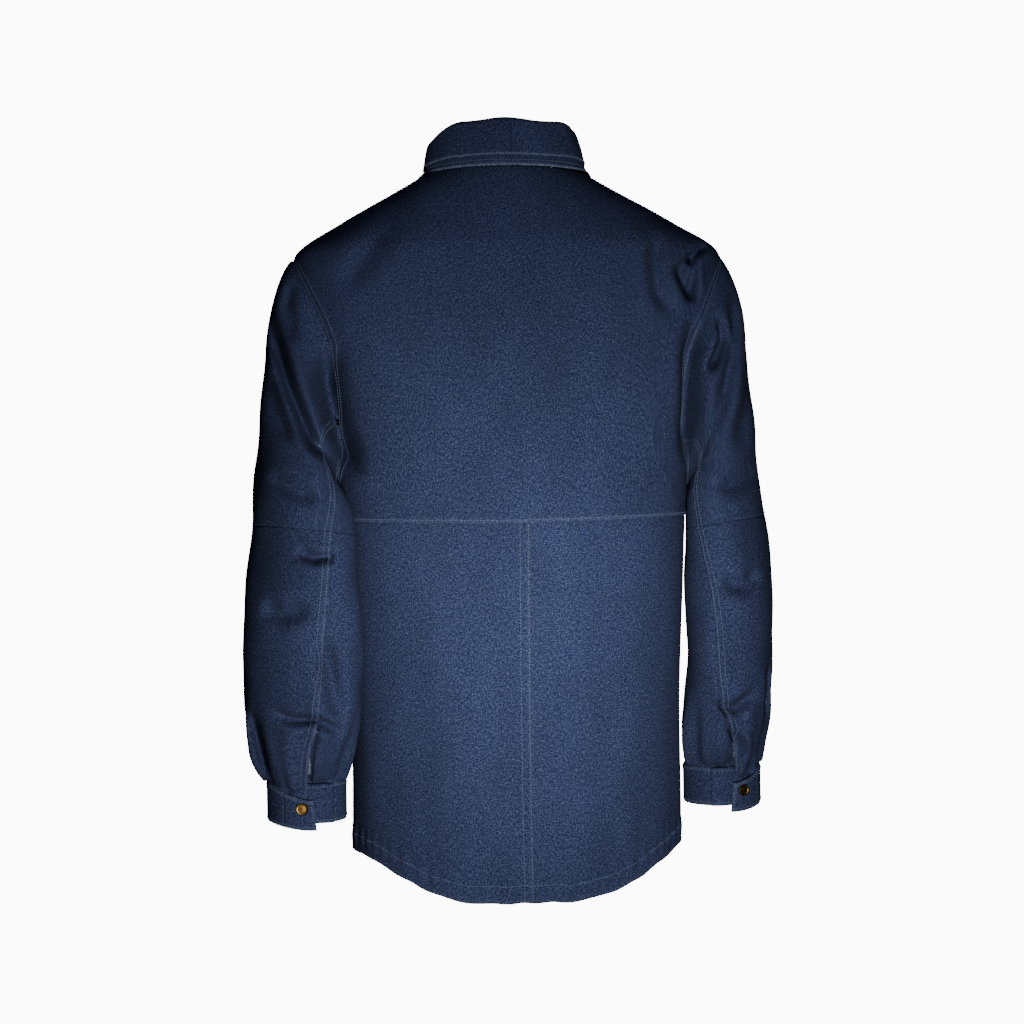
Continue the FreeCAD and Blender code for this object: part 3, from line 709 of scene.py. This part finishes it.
def back_yoke():
    """One piece from the collar down to the yoke seam, with both armhole edges."""
    count = 140
    edge = even(side_edge(1.0, [(0.0, yoke_seam(0.0) - seam_lap)]), count, on_body)
    rows = []
    for k in range(count):
        t = k / (count - 1.0)
        u = np.linspace(0.0, 1.0, 300)
        middle_z = -(yoke_drop + seam_lap) * (0.55 * t + 0.45 * t ** 1.6)
        half_row = body_point(mix(90.0, edge[k, 0], u), mix(middle_z, edge[k, 1], u))
        flipped = half_row[:0:-1].copy()
        flipped[:, 0] *= -1.0
        rows.append(np.concatenate([flipped, half_row]))
    pattern = even_rows(rows, 161)
    grid = crease(settle(pattern), armhole_folds[LEFT] + armhole_folds[RIGHT])
    for edge_name in ("left", "right"):
        grid = raise_edge(grid, edge_name, 11.5, 0.7)
    grid = raise_edge(grid, "bottom", 5.5, lap_height)
    grid = pucker(grid, edge_distance(grid, "bottom") - 4.0, edge_distance(grid, "left"), 7.0, 0.3)
    cloth("yoke_cloth", grid, pattern, "torso", ["back_yoke"], None,
          double_rows("left") + double_rows("right") + [("bottom", 3.0, 3.0, 157.0)],
          wear(grid, ("left", "right", "bottom")))


def back_panel(side):
    """The lower back on one side; the left one laps over the right along the centre seam."""
    past = 90.0 + (0.85 if side > 0 else 0.55)
    angles = np.concatenate([[past], np.linspace(90.0, -1.0, 320)])
    held = np.clip(angles, 0.0, 90.0)
    rows = []
    for k in range(134):
        t = k / 133.0
        rows.append(body_point(angles, mix(yoke_seam(held) + 3.0, hem_height(held), t)))
    pattern = for_side(even_rows(rows, 80), side)
    grid = settle(pattern)
    grid = raise_edge(grid, "top", 8.0, -0.7)
    middle, outer = word_of[side], word_of[-side]
    grid = raise_edge(grid, middle, 11.0 if side > 0 else 5.0, 0.8 if side > 0 else -0.7)
    grid = raise_edge(grid, outer, 11.0, 0.6)
    grid = raise_edge(grid, "bottom", hem_row - 1.0, 0.5)
    near_hem = edge_distance(grid, "bottom") - hem_row
    grid = pucker(grid, near_hem, edge_distance(grid, "left"), 9.0, 1.1, 15.0)
    wobble = np.sin(grid[..., 0] * 0.17 + np.sin(grid[..., 0] * 0.05))
    grid[..., 2] += wobble * 0.7 * np.exp(-(edge_distance(grid, "bottom") / 25.0) ** 2)
    if side > 0:
        grid = pucker(grid, edge_distance(grid, "left") - 7.0, edge_distance(grid, "top"), 7.0,
                      0.35, 23.0)
    sewn = double_rows(outer, 2.0) + [("bottom", hem_row)]
    worn = ["bottom", outer]
    if side > 0:
        sewn += double_rows(middle, 3.0)
        worn.append(middle)
    cloth("back_cloth_" + middle, grid, pattern, "torso", ["back_" + middle], None, sewn,
          wear(grid, worn))


back_yoke()
back_panel(LEFT)
back_panel(RIGHT)


# ---- fronts ----
front_neck_z = float(neck_point(-90.0)[2])
fold_turn = -math.degrees(math.acos(fold_top_x / neck_half))
fold_top_z = float(neck_point(fold_turn)[2])


def fold_x(z):
    return mix(fold_top_x, fold_hem_x, (fold_top_z - z) / (fold_top_z - hem_side))


def front_share(points):
    """How far each point goes with the front edges when they open."""
    z = points[..., 2]
    line = np.where(z > -120.0, mix(fold_x(-120.0), 52.0, ramp((z + 120.0) / 120.0)), fold_x(z))
    return ramp((line + fold_reach - np.abs(points[..., 0])) / (2.0 * fold_reach)) * (points[..., 1] < 0)


def front_out(z):
    """The outward direction at the centre front."""
    step = body_point(-90.0, z + 8.0) - body_point(-90.0, z - 8.0)
    return unit(np.cross(np.array([1.0, 0.0, 0.0]), step))


def tucked(p, z, sink):
    """Points of a front, sunk behind the other front past its fold line."""
    edge = fold_x(z) - fold_flat
    depth = sink * ramp((edge - p[:, 0]) / (edge - overlap_half)) * (p[:, 1] < 0)
    return p - front_out(z) * depth[:, None]


def front_panel(side):
    """One front from its side seam to past the centre, and the facing inside its edge."""
    word, inner = word_of[side], word_of[-side]
    bodies = ("torso", word + "_front")
    sink = 0.0 if side > 0 else under_step
    count = 236
    outer = even(side_edge(-1.0, [(0.0, mix(underarm_z, hem_side, k / 12.0)) for k in range(1, 13)]),
                 count, on_body)
    u = np.linspace(0.0, 1.0, 320)
    edge_turn = -180.0 + math.degrees(math.acos(overlap_half / neck_half))
    neck = neck_point(np.clip(mix(0.0, edge_turn, u), -90.0, 0.0))
    past = mix(0.0, edge_turn, u) < -90.0
    over = neck_point(-180.0 - mix(0.0, edge_turn, u[past]))
    over[:, 0] *= -1.0
    neck[past] = over
    neck_angle = body_angle(neck[:, 1], neck[:, 2])
    neck_angle[past] = -180.0 - neck_angle[past]
    rows = []
    for k in range(count):
        share = k / (count - 1.0)
        z_in = mix(float(neck[-1, 2]), hem_side, share)
        end = -180.0 - float(angle_at_x(overlap_half, z_in))
        fade = (1.0 - share) ** 3
        angle = mix(outer[k, 0], end, u) + (neck_angle - mix(0.0, neck_angle[-1], u)) * fade
        z = mix(outer[k, 1], z_in, u) + (neck[:, 2] - mix(0.0, neck[-1, 2], u)) * fade
        rows.append(tucked(body_point(angle, z), z, sink))
    pattern = for_side(even_rows(rows, 84), side)
    grid = settle(pattern)
    grid = raise_edge(grid, word, 6.0, -0.7)
    grid = raise_edge(grid, "bottom", hem_row - 1.0, 0.5)
    grid = pucker(grid, edge_distance(grid, "bottom") - hem_row, edge_distance(grid, "left"), 11.0,
                  0.7, 17.0)
    cloth("front_cloth_" + word, grid, pattern, bodies,
          ["front_" + word, "front_%s_side" % word, "front_%s_fold" % word], front_share(grid),
          [("bottom", hem_row), (inner, 6.0), (inner, 36.0, 8.0)], wear(grid, ("bottom", inner)))
    # the facing, from below the neck to above the hem
    rows = []
    for z in np.linspace(front_neck_z - 3.0, hem_side + 4.0, 180):
        x = np.linspace(facing_width - overlap_half, -overlap_half + 0.5, 18)
        angle = angle_at_x(np.abs(x), z)
        p = body_point(np.where(x >= 0.0, angle, -180.0 - angle), z)
        rows.append(tucked(p, z, sink) - front_out(z) * facing_depth)
    pattern = for_side(np.array(rows), side)
    cloth("facing_cloth_" + word, pattern, pattern, bodies, ["facing_" + word],
          front_share(pattern), thickness=lining_thick, slot="denim_inside")


front_panel(LEFT)
front_panel(RIGHT)


# ---- collar ----
def clear_of_body(p, distance):
    """Moves points outwards in plan until they are the distance outside the body's cloth."""
    half, back, front, power = along(levels, p[..., 2])
    depth = np.where(p[..., 1] > 0, back, front)
    share = ((np.abs(p[..., 0]) / half) ** power + (np.abs(p[..., 1]) / depth) ** power) ** (1.0 / power)
    reach = np.maximum(np.hypot(p[..., 0], p[..., 1]), 1.0)
    grow = np.where(p[..., 2] > 0.0, 1.0, np.maximum(share, 1.0 + distance / reach) / share)
    out = p.copy()
    out[..., :2] *= grow[..., None]
    return out


def collar_lines(turn, side):
    """The stand's foot and top, the way out, the share of the way to the front and the lean in."""
    foot = neck_point(turn)
    front = ramp((20.0 - turn) / 110.0)
    out = unit(foot * np.array([1.0, 1.0, 0.0]))
    if side > 0:
        slump, lean = 17.0 * ramp((52.0 - turn) / 42.0), 0.0
    else:
        slump = 3.0 * ramp((50.0 - turn) / 40.0)
        lean = 10.0 * ramp((48.0 - turn) / 30.0) * ramp((turn + 40.0) / 40.0)
    height = stand_height - stand_fall * front - slump + 1.2 * np.sin(side * foot[:, 0] * 0.085 + 1.0)
    top = foot - out * (mix(5.0, 9.0, front) + lean)[:, None]
    top[:, 2] += height
    foot = foot - out * 3.0
    foot[:, 2] += 1.5
    return foot, top, out, front, lean


def collar_half(side):
    """The stand and the folded leaf of one half of the collar, from the centre back."""
    word, point = word_of[side], word_of[-side]
    turn = np.linspace(90.0, -85.0, 96)
    foot, top, out, front, lean = collar_lines(turn, side)
    rows = [top + (foot - top) * t - out * 0.3 for t in np.linspace(0.0, 1.0, 16)]
    stand = for_side(np.array(rows), side)
    bodies = ("torso", word + "_front")
    nodes = ["collar_stand_" + word] + (["collar_stand_back"] if side > 0 else [])
    cloth("collar_stand_cloth_" + word, stand, stand, bodies, nodes, front_share(stand),
          [("bottom", 4.0)], wear(stand, ("top",)), thickness=collar_thick)
    fall = mix(leaf_back, leaf_point, front ** 2)
    spread = 6.0 + 10.0 * front + lean
    fall = fall - (stand_height - stand_fall * front - (top[:, 2] - foot[:, 2] + 1.5))

    def folded(reach, lift):
        """A layer of the leaf that covers this share of its fall, lifted off the layer below."""
        rows = []
        for t in np.linspace(0.0, 1.0, 30):
            away = 6.5 * np.sin(np.minimum(1.0, 4.0 * t) * math.pi / 2.0) + spread * t * reach
            p = top + out * (away - cad_cloth + lift)[:, None]
            p[:, 2] += 4.6 - fall * reach * t ** 1.5
            rows.append(clear_of_body(p, cad_cloth + 3.4 + lift))
        return for_side(np.array(rows), side)

    pattern = folded(1.0, 0.0)
    leaf = raise_edge(lift(pattern, -sunk_face), "bottom", 7.0, 0.35)
    leaf = waves(leaf, 8, 60.0, 0.5)
    nodes = ["collar_leaf_" + word] + (["collar_leaf_back"] if side > 0 else [])
    cloth("collar_leaf_cloth_" + word, leaf, pattern, bodies, nodes, front_share(leaf),
          [("bottom", 6.0), ("bottom", 1.8), (point, 6.0)],
          wear(leaf, ("bottom", "top", point), 2.0, 1.2), thickness=collar_thick, joined=word)
    # the upper layer of the leaf stops short of the lower one
    upper = waves(folded(0.78, 2.0), 8, 60.0, 0.5)
    cloth("collar_upper_cloth_" + word, upper, upper, bodies, [], front_share(upper),
          [("bottom", 1.6)], wear(upper, ("bottom",), 1.6, 0.9), thickness=1.6, joined=word)


def neck_tape():
    """The strip inside the back of the neck, under the collar seam."""
    turn = np.linspace(150.0, 30.0, 60)
    foot = neck_point(np.where(turn > 90.0, 180.0 - turn, turn))
    foot[:, 0] *= np.where(turn > 90.0, -1.0, 1.0)
    out = unit(foot * np.array([1.0, 1.0, 0.0]))
    rows = []
    for depth in np.linspace(0.0, 16.0, 8):
        rows.append(foot - out * (9.4 - 0.3 * depth) - np.array([0.0, 0.0, depth + 2.0]))
    tape = np.array(rows)
    cloth("neck_tape_cloth", tape, tape, "torso", ["neck_tape"], None, [("bottom", 2.5)],
          thickness=lining_thick, slot="denim_inside")


def hang_loop():
    """A narrow strip that hangs in a curve from both ends below the neck tape."""
    half = 28.0
    across = np.linspace(-1.0, 1.0, 40)
    rows = []
    for k in range(5):
        rows.append(stack(half * across, neck_back - 14.7 - 0.01 * (half * across) ** 2,
                          -8.0 - 16.0 * (1.0 - across * across) - 2.6 * k))
    loop = np.array(rows)
    cloth("hang_loop_cloth", loop, loop, "hang_loop", ["hang_loop"], thickness=1.2,
          slot="denim_inside")


collar_half(LEFT)
collar_half(RIGHT)
neck_tape()
hang_loop()


# ---- sleeves ----
# share of the drop, outer edge past the shoulder (left, right), share of the way that the inner
# edge has come from the underarm to the cuff, how far back the middle lies (left, right),
# half depth, skew towards the back of the body (left, right)
sleeve_rows = [
    (0.000, 3.0, 3.0, 0.000, 0.0, 0.0, 84.0, 0.0, 0.0),
    (0.012, 18.0, 18.0, 0.000, 2.0, 0.0, 82.0, 2.0, 1.0),
    (0.058, 27.0, 27.0, 0.010, 6.0, 1.0, 80.0, 4.0, 4.0),
    (0.142, 31.0, 30.0, 0.020, 12.0, 2.0, 79.0, 8.0, 9.0),
    (0.260, 34.0, 34.0, 0.035, 20.0, 4.0, 78.0, 14.0, 14.0),
    (0.380, 39.0, 40.0, 0.060, 28.0, 6.0, 77.0, 20.0, 18.0),
    (0.498, 45.0, 47.0, 0.130, 36.0, 8.0, 76.0, 21.0, 18.0),
    (0.608, 51.0, 53.0, 0.300, 43.0, 8.0, 76.0, 20.0, 15.0),
    (0.708, 56.0, 55.0, 0.470, 46.0, 8.0, 75.0, 19.0, 11.0),
    (0.808, 60.0, 53.0, 0.655, 44.0, 5.0, 74.0, 18.0, 10.0),
    (0.890, 62.0, 48.0, 0.800, 36.0, 0.0, 70.0, 17.0, 8.0),
    (0.955, 54.0, 43.0, 0.918, 27.0, -6.0, 61.0, 10.0, 6.0),
    (1.000, 45.0, 40.0, 1.000, 22.0, -10.0, 51.0, 6.0, 4.0),
]
body_gap = 4.1              # between a sleeve's inner edge and the body
cuff_open = {LEFT: 76.0, RIGHT: 61.0}
cuff_y = {LEFT: 22.0, RIGHT: -10.0}
tab_turn = math.degrees(tab_length / cuff_half)
tab_back = 0.45             # the share of the tab that lies behind the cuff's opening
sag_turn = 45.0             # the cuff starts to sag this far before its tab
seam_line = {LEFT: [(0.0, 112.0), (0.43, 104.0), (0.56, 95.0), (0.73, 88.0), (1.0, 86.0)],
             RIGHT: [(0.0, 125.0), (0.49, 125.0), (0.66, 110.0), (0.86, 98.0), (0.95, 78.0),
                     (1.0, 68.0)]}


def sleeve_surface(t, turn, side):
    """On a left-hand sleeve: turn 0 is outermost, 90 the back, 180 against the body."""
    k = 0 if side > 0 else 1
    values = along(sleeve_rows, t)
    x1, low, middle_y = shoulder_half + values[k], values[2], values[3 + k]
    half_y, skew = values[5], values[6 + k]
    z1 = shoulder_z - t * sleeve_drop
    z2 = mix(underarm_z - 3.0, shoulder_z - sleeve_drop, low)
    x2 = body_x(middle_y + skew * 1.1, z2) + body_gap
    x2 = mix(x2, cuff_x - cuff_half - 1.0, ramp((t - 0.85) / 0.15))
    c, s = cos_sin(turn)
    p = stack(mix(x2, x1, (1.0 + c) / 2.0) - skew * s, middle_y + half_y * s,
              mix(z2, z1, (1.0 + c) / 2.0))
    away = np.broadcast_to(ramp(t / 0.16), p.shape[:2])[..., None]
    seam = armhole_point(turn) + np.array([3.0, 0.0, 0.0])
    return clear_of_body(p * away + seam * (1.0 - away), 3.0 * away[..., 0])


def cuff_point(turn, z, side, away=0.0):
    """On the cuff's ring at a turn, or the given distance outside it."""
    c, s = cos_sin(turn)
    out = unit(stack(c / cuff_half, s / cuff_depth, 0.0 * c))
    ring = stack(cuff_x + cuff_half * c, cuff_y[side] + cuff_depth * s, z)
    return ring + out * np.asarray(away + 0.0 * c)[..., None]


def turn_gap(turn, at):
    """The turn from one place to another, between -180 and 180."""
    return (turn - at + 180.0) % 360.0 - 180.0


def sag(turn, side):
    """How far the cuff has sagged at a turn near its tab, 0 to 1."""
    return ramp((turn - cuff_open[side] + tab_turn * tab_back + sag_turn) / (sag_turn + tab_turn))


# dark folds of each sleeve: places as seen from behind, width, depth and the lip beside
folds = {
    LEFT: [([(258, -205), (248, -250), (232, -292)], 9.0, 7.0, 2.0),
           ([(262, -318), (238, -334), (205, -350)], 9.0, 6.0, 2.0),
           ([(230, -112), (236, -150), (228, -185)], 7.0, 5.0, 1.5),
           ([(232, -398), (212, -407), (188, -405)], 5.0, 9.0, 2.5),
           ([(270, -452), (246, -464), (214, -456)], 10.0, 7.0, 2.0),
           ([(262, -560), (240, -571), (212, -572), (180, -590)], 5.0, 11.0, 3.0),
           ([(281, -560), (274, -600), (264, -636)], 5.0, 10.0, 2.0),
           ([(206, -480), (196, -540), (186, -585)], 9.0, 8.0, 2.0)],
    RIGHT: [([(-240, -120), (-234, -175), (-222, -235), (-208, -290)], 8.0, 9.0, 3.0),
            ([(-262, -205), (-250, -250), (-230, -305)], 10.0, 7.0, 2.0),
            ([(-264, -320), (-240, -336), (-206, -346)], 9.0, 6.0, 2.0),
            ([(-268, -525), (-270, -560), (-267, -595)], 4.5, 9.0, 2.0),
            ([(-252, -556), (-225, -576), (-200, -568)], 6.0, 9.0, 3.0),
            ([(-258, -430), (-236, -446), (-208, -440)], 9.0, 7.0, 2.0),
            ([(-222, -596), (-236, -620), (-243, -638)], 4.5, 8.0, 2.0)]}


def sleeve(side):
    """Both pieces of one sleeve, made as one sheet and cut across the elbow."""
    word, under_edge = word_of[side], word_of[-side]
    upper, lower = word + "_upper_sleeve", word + "_lower_sleeve"
    cut = 0.512
    upper_rows = 98
    lap = 368.0                 # the turn from the seam's upper edge round to its lower edge
    t = np.concatenate([np.linspace(0.0, cut, upper_rows), np.linspace(cut, 0.99, 92)[1:],
                        [1.0, 1.008, 1.016]])
    turn = along(seam_line[side], t)[0][:, None] + 4.0 - np.linspace(0.0, 1.0, 168)[None, :] * lap
    grid = sleeve_surface(np.minimum(t, 1.0)[:, None], turn, side)
    # the top is tucked under the edge of the armhole
    for row, scale, sink in ((0, 1.05, 1.9), (1, 0.995, 1.2)):
        grid[row] = armhole_point(turn[row], scale, sink)
    # the bottom goes into the cuff, or behind its inner end where the cuff opens
    gap = turn_gap(turn, cuff_open[side] + 8.0)
    open_zone = ramp((gap + 34.0) / 8.0) * (1.0 - ramp((gap - 38.0) / 14.0))
    ring_z = np.minimum(cuff_top_z + 2.0, cuff_top_z + 2.0 - (t - 1.0) * 620.0)
    ring = cuff_point(turn, ring_z[:, None] - 14.0 * sag(turn, side), side,
                      mix(-1.3, -9.2, open_zone))
    into = ramp((t - 0.945) / 0.055)[:, None, None]
    pattern = for_side(grid * (1.0 - into) + ring * into, side)
    made = lift(pattern, -sunk_face)
    down = np.broadcast_to(t[:, None], made.shape[:2])
    # loose between the armhole and the cuff, and gathered into the cuff
    free = ramp(down / 0.05) * (1.0 - ramp((down - 0.93) / 0.07))
    loose = waves(made, 21 if side > 0 else 22, 120.0, 2.2)
    loose = waves(loose, 31 if side > 0 else 32, 60.0, 0.7)
    made = made + (loose - made) * free[..., None]
    turn = turn if side > 0 else turn[:, ::-1]
    pleat = np.sin(np.radians(turn * 7.0) + 0.8) + 0.6 * np.sin(np.radians(turn * 12.0))
    strength = ramp((down - 0.84) / 0.10) * (1.0 - ramp((down - 0.985) / 0.015))
    made = lift(made, pleat * strength * 2.6)
    made = crease(made, armhole_folds[side] + folds[side])
    # the lapped back seam: one edge on top, the other beneath
    slit = ramp((down - 0.835) / 0.06)
    far = edge_distance(made, word)
    made = lift(made, (1.0 - ramp((far - 11.0) / 3.0)) * 0.8
                + (1.0 - ramp((far - 4.0) / 9.0)) * 1.2 * slit)
    far = edge_distance(made, under_edge)
    made = lift(made, (1.0 - ramp((far - 9.0) / 4.0)) * -(0.9 + 2.6 * slit))
    made = pucker(made, edge_distance(made, word) - 7.0, edge_distance(made, "top"), 7.0, 0.45, 19.0)
    # the part of the sheet, its joined edge, bodies and solids, where its bend starts and how long
    # it is, and its first and last stitched row
    for end, part, joined, bodies, solids, bend, bend_long, first, last in (
            ("upper", slice(0, upper_rows), "bottom", ("torso", upper),
             ("head", "top_upper", "under_upper"), 0.04, 0.38, 13.0, 1.0),
            ("lower", slice(upper_rows - 1, None), "top", (upper, lower),
             ("elbow", "top_lower", "under_lower"), 0.525, 0.235, 0.0, 6.0)):
        piece = made[part]
        cloth("sleeve_cloth_%s_%s" % (word, end), piece, pattern[part], bodies,
              ["sleeve_%s_%s" % (word, solid) for solid in solids],
              ramp((down[part] - bend) / bend_long),
              double_rows(word, first, piece.shape[0] - last, 5.6), wear(piece, (word,)),
              joined=joined)


sleeve(LEFT)
sleeve(RIGHT)


# ---- cuffs ----
def cuff_sheet(turn0, turn1, columns, side, away, z_top, slant=0.0, sagging=1.0):
    """A cuff piece; away gives each column's distance from the cuff's ring."""
    rows = []
    for t in np.linspace(0.0, 1.0, 20):
        turn = np.linspace(turn0 + slant * (t - 0.5), turn1, columns)
        z = mix(z_top, z_top - cuff_height + cuff_lift, t) - mix(17.0, 7.0, t) * sagging * sag(turn, side)
        rows.append(cuff_point(turn, z, side, away))
    return for_side(np.array(rows), side)


def cuff(side):
    """A cuff's band, the end beneath, its tab, and the binding of the slit above it."""
    word, held = word_of[side], word_of[-side]
    hinge = cuff_open[side] - tab_turn * tab_back
    join = cuff_open[side] + math.degrees(42.0 / cuff_half)
    lower = word + "_lower_sleeve"
    band = cuff_sheet(hinge, join - 360.0, 110, side, np.zeros(110), cuff_top_z)
    under_away = mix(-(3.0 + tab_gap), 0.0, 1.0 - ramp(np.linspace(0.0, 1.7, 34)))
    under = cuff_sheet(join, hinge + 3.0, 34, side, under_away, cuff_top_z - 0.5, sagging=0.0)
    tab = cuff_sheet(hinge + tab_turn, hinge, 26, side, np.linspace(0.4, 0.0, 26), cuff_top_z, 5.0)
    band = raise_edge(band, "top", 5.0, 0.3)
    sewn = [("top", 3.2), ("bottom", 3.6)]
    for name, grid, bodies, node_end, share, rows, worn in (
            ("band", band, lower, "", None, sewn, ("top", "bottom")),
            ("under", under, lower, "_under_end", None, sewn, ("bottom",)),
            ("tab", tab, (lower, word + "_cuff_tab"), "_tab", ramp(edge_distance(tab, held) / 6.0),
             sewn + [(word, 3.2, 1.0, 18.0)], ("top", "bottom", word))):
        cloth("cuff_%s_cloth_%s" % (name, word), grid, grid, bodies, ["cuff_" + word + node_end],
              share, rows, wear(grid, worn, 2.0, 0.6), thickness=cuff_thick)
    # the turned binding inside the slit above the cuff
    t = np.linspace(1.0 - 96.0 / sleeve_drop, 0.99, 30)[:, None]
    turn = cuff_open[side] + 8.0 + np.linspace(8.0, -8.0, 8)[None, :] + 0.0 * t
    binding = for_side(sleeve_surface(t, turn, side), side)
    binding = crease(lift(binding, -8.0), folds[side])
    cloth("vent_binding_cloth_" + word, binding, binding, lower, ["vent_binding_" + word],
          thickness=lining_thick, slot="denim_inside")


cuff(LEFT)
cuff(RIGHT)


# ---- snaps ----
for name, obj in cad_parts.items():
    if "snap" in name:
        shown = "cap" in name or "post" in name
        obj.data.materials.clear()
        obj.data.materials.append(brass if shown else snap_metal)


# ---- floor, lights and camera ----
# places from here on are in metres
def floor():
    bpy.ops.mesh.primitive_circle_add(vertices=96, radius=1.2, fill_type="NGON",
                                      location=(0.0, 0.0, -1.3))
    disc = bpy.context.object
    disc.name = "floor"
    pale, tree, shader = new_material("pale_floor")
    fill(shader, {"Base Color": (0.8, 0.8, 0.8, 1.0), "Roughness": 0.7})
    disc.data.materials.append(pale)


def soft_light(name, place, size, watts, spread):
    """A square lamp behind the back, turned to the middle of the jacket."""
    lamp = bpy.data.lights.new(name, "AREA")
    lamp.size = size
    lamp.energy = watts
    lamp.spread = math.radians(spread)
    obj = add(name, lamp)
    middle = Vector((0.0, 0.0, -0.42))
    obj.location = place
    obj.rotation_euler = (middle - Vector(place)).to_track_quat("-Z", "Y").to_euler()


def surroundings():
    """A white world that the camera sees bright and the jacket hardly feels."""
    world = bpy.data.worlds.new("studio")
    world.use_nodes = True
    bpy.context.scene.world = world
    tree = world.node_tree
    white = (1.0, 1.0, 1.0, 1.0)
    felt = tree.nodes["Background"]
    fill(felt, {"Color": white, "Strength": 0.015})
    seen = node(tree, "ShaderNodeBackground", {"Color": white, "Strength": 11.0})
    ray = node(tree, "ShaderNodeLightPath", {}).outputs["Is Camera Ray"]
    both = node(tree, "ShaderNodeMixShader", {0: ray, 1: felt.outputs[0], 2: seen.outputs[0]})
    fill(tree.nodes["World Output"], {"Surface": both.outputs[0]})


def camera():
    """Square behind the back, a little to the wearer's left, with a slight roll."""
    aim = Vector((0.0, 0.0, -0.3637))
    distance = 2.2
    yaw = math.radians(5.5)
    roll = math.radians(-1.1)
    eye = add("camera", bpy.data.cameras.new("camera"))
    eye.location = aim + Vector((distance * math.sin(yaw), distance * math.cos(yaw), 0.0))
    turned = (aim - eye.location).to_track_quat("-Z", "Y").to_matrix().to_4x4()
    eye.rotation_euler = (turned @ Matrix.Rotation(roll, 4, "Z")).to_euler()
    eye.data.lens = 71.95
    eye.data.clip_start = 0.05
    bpy.context.scene.camera = eye


floor()
soft_light("key", (0.0, 1.2, -0.72), 0.2, 3.6, 60.0)
soft_light("above", (-0.05, 1.3, 0.3), 0.25, 4.2, 180.0)
surroundings()
camera()
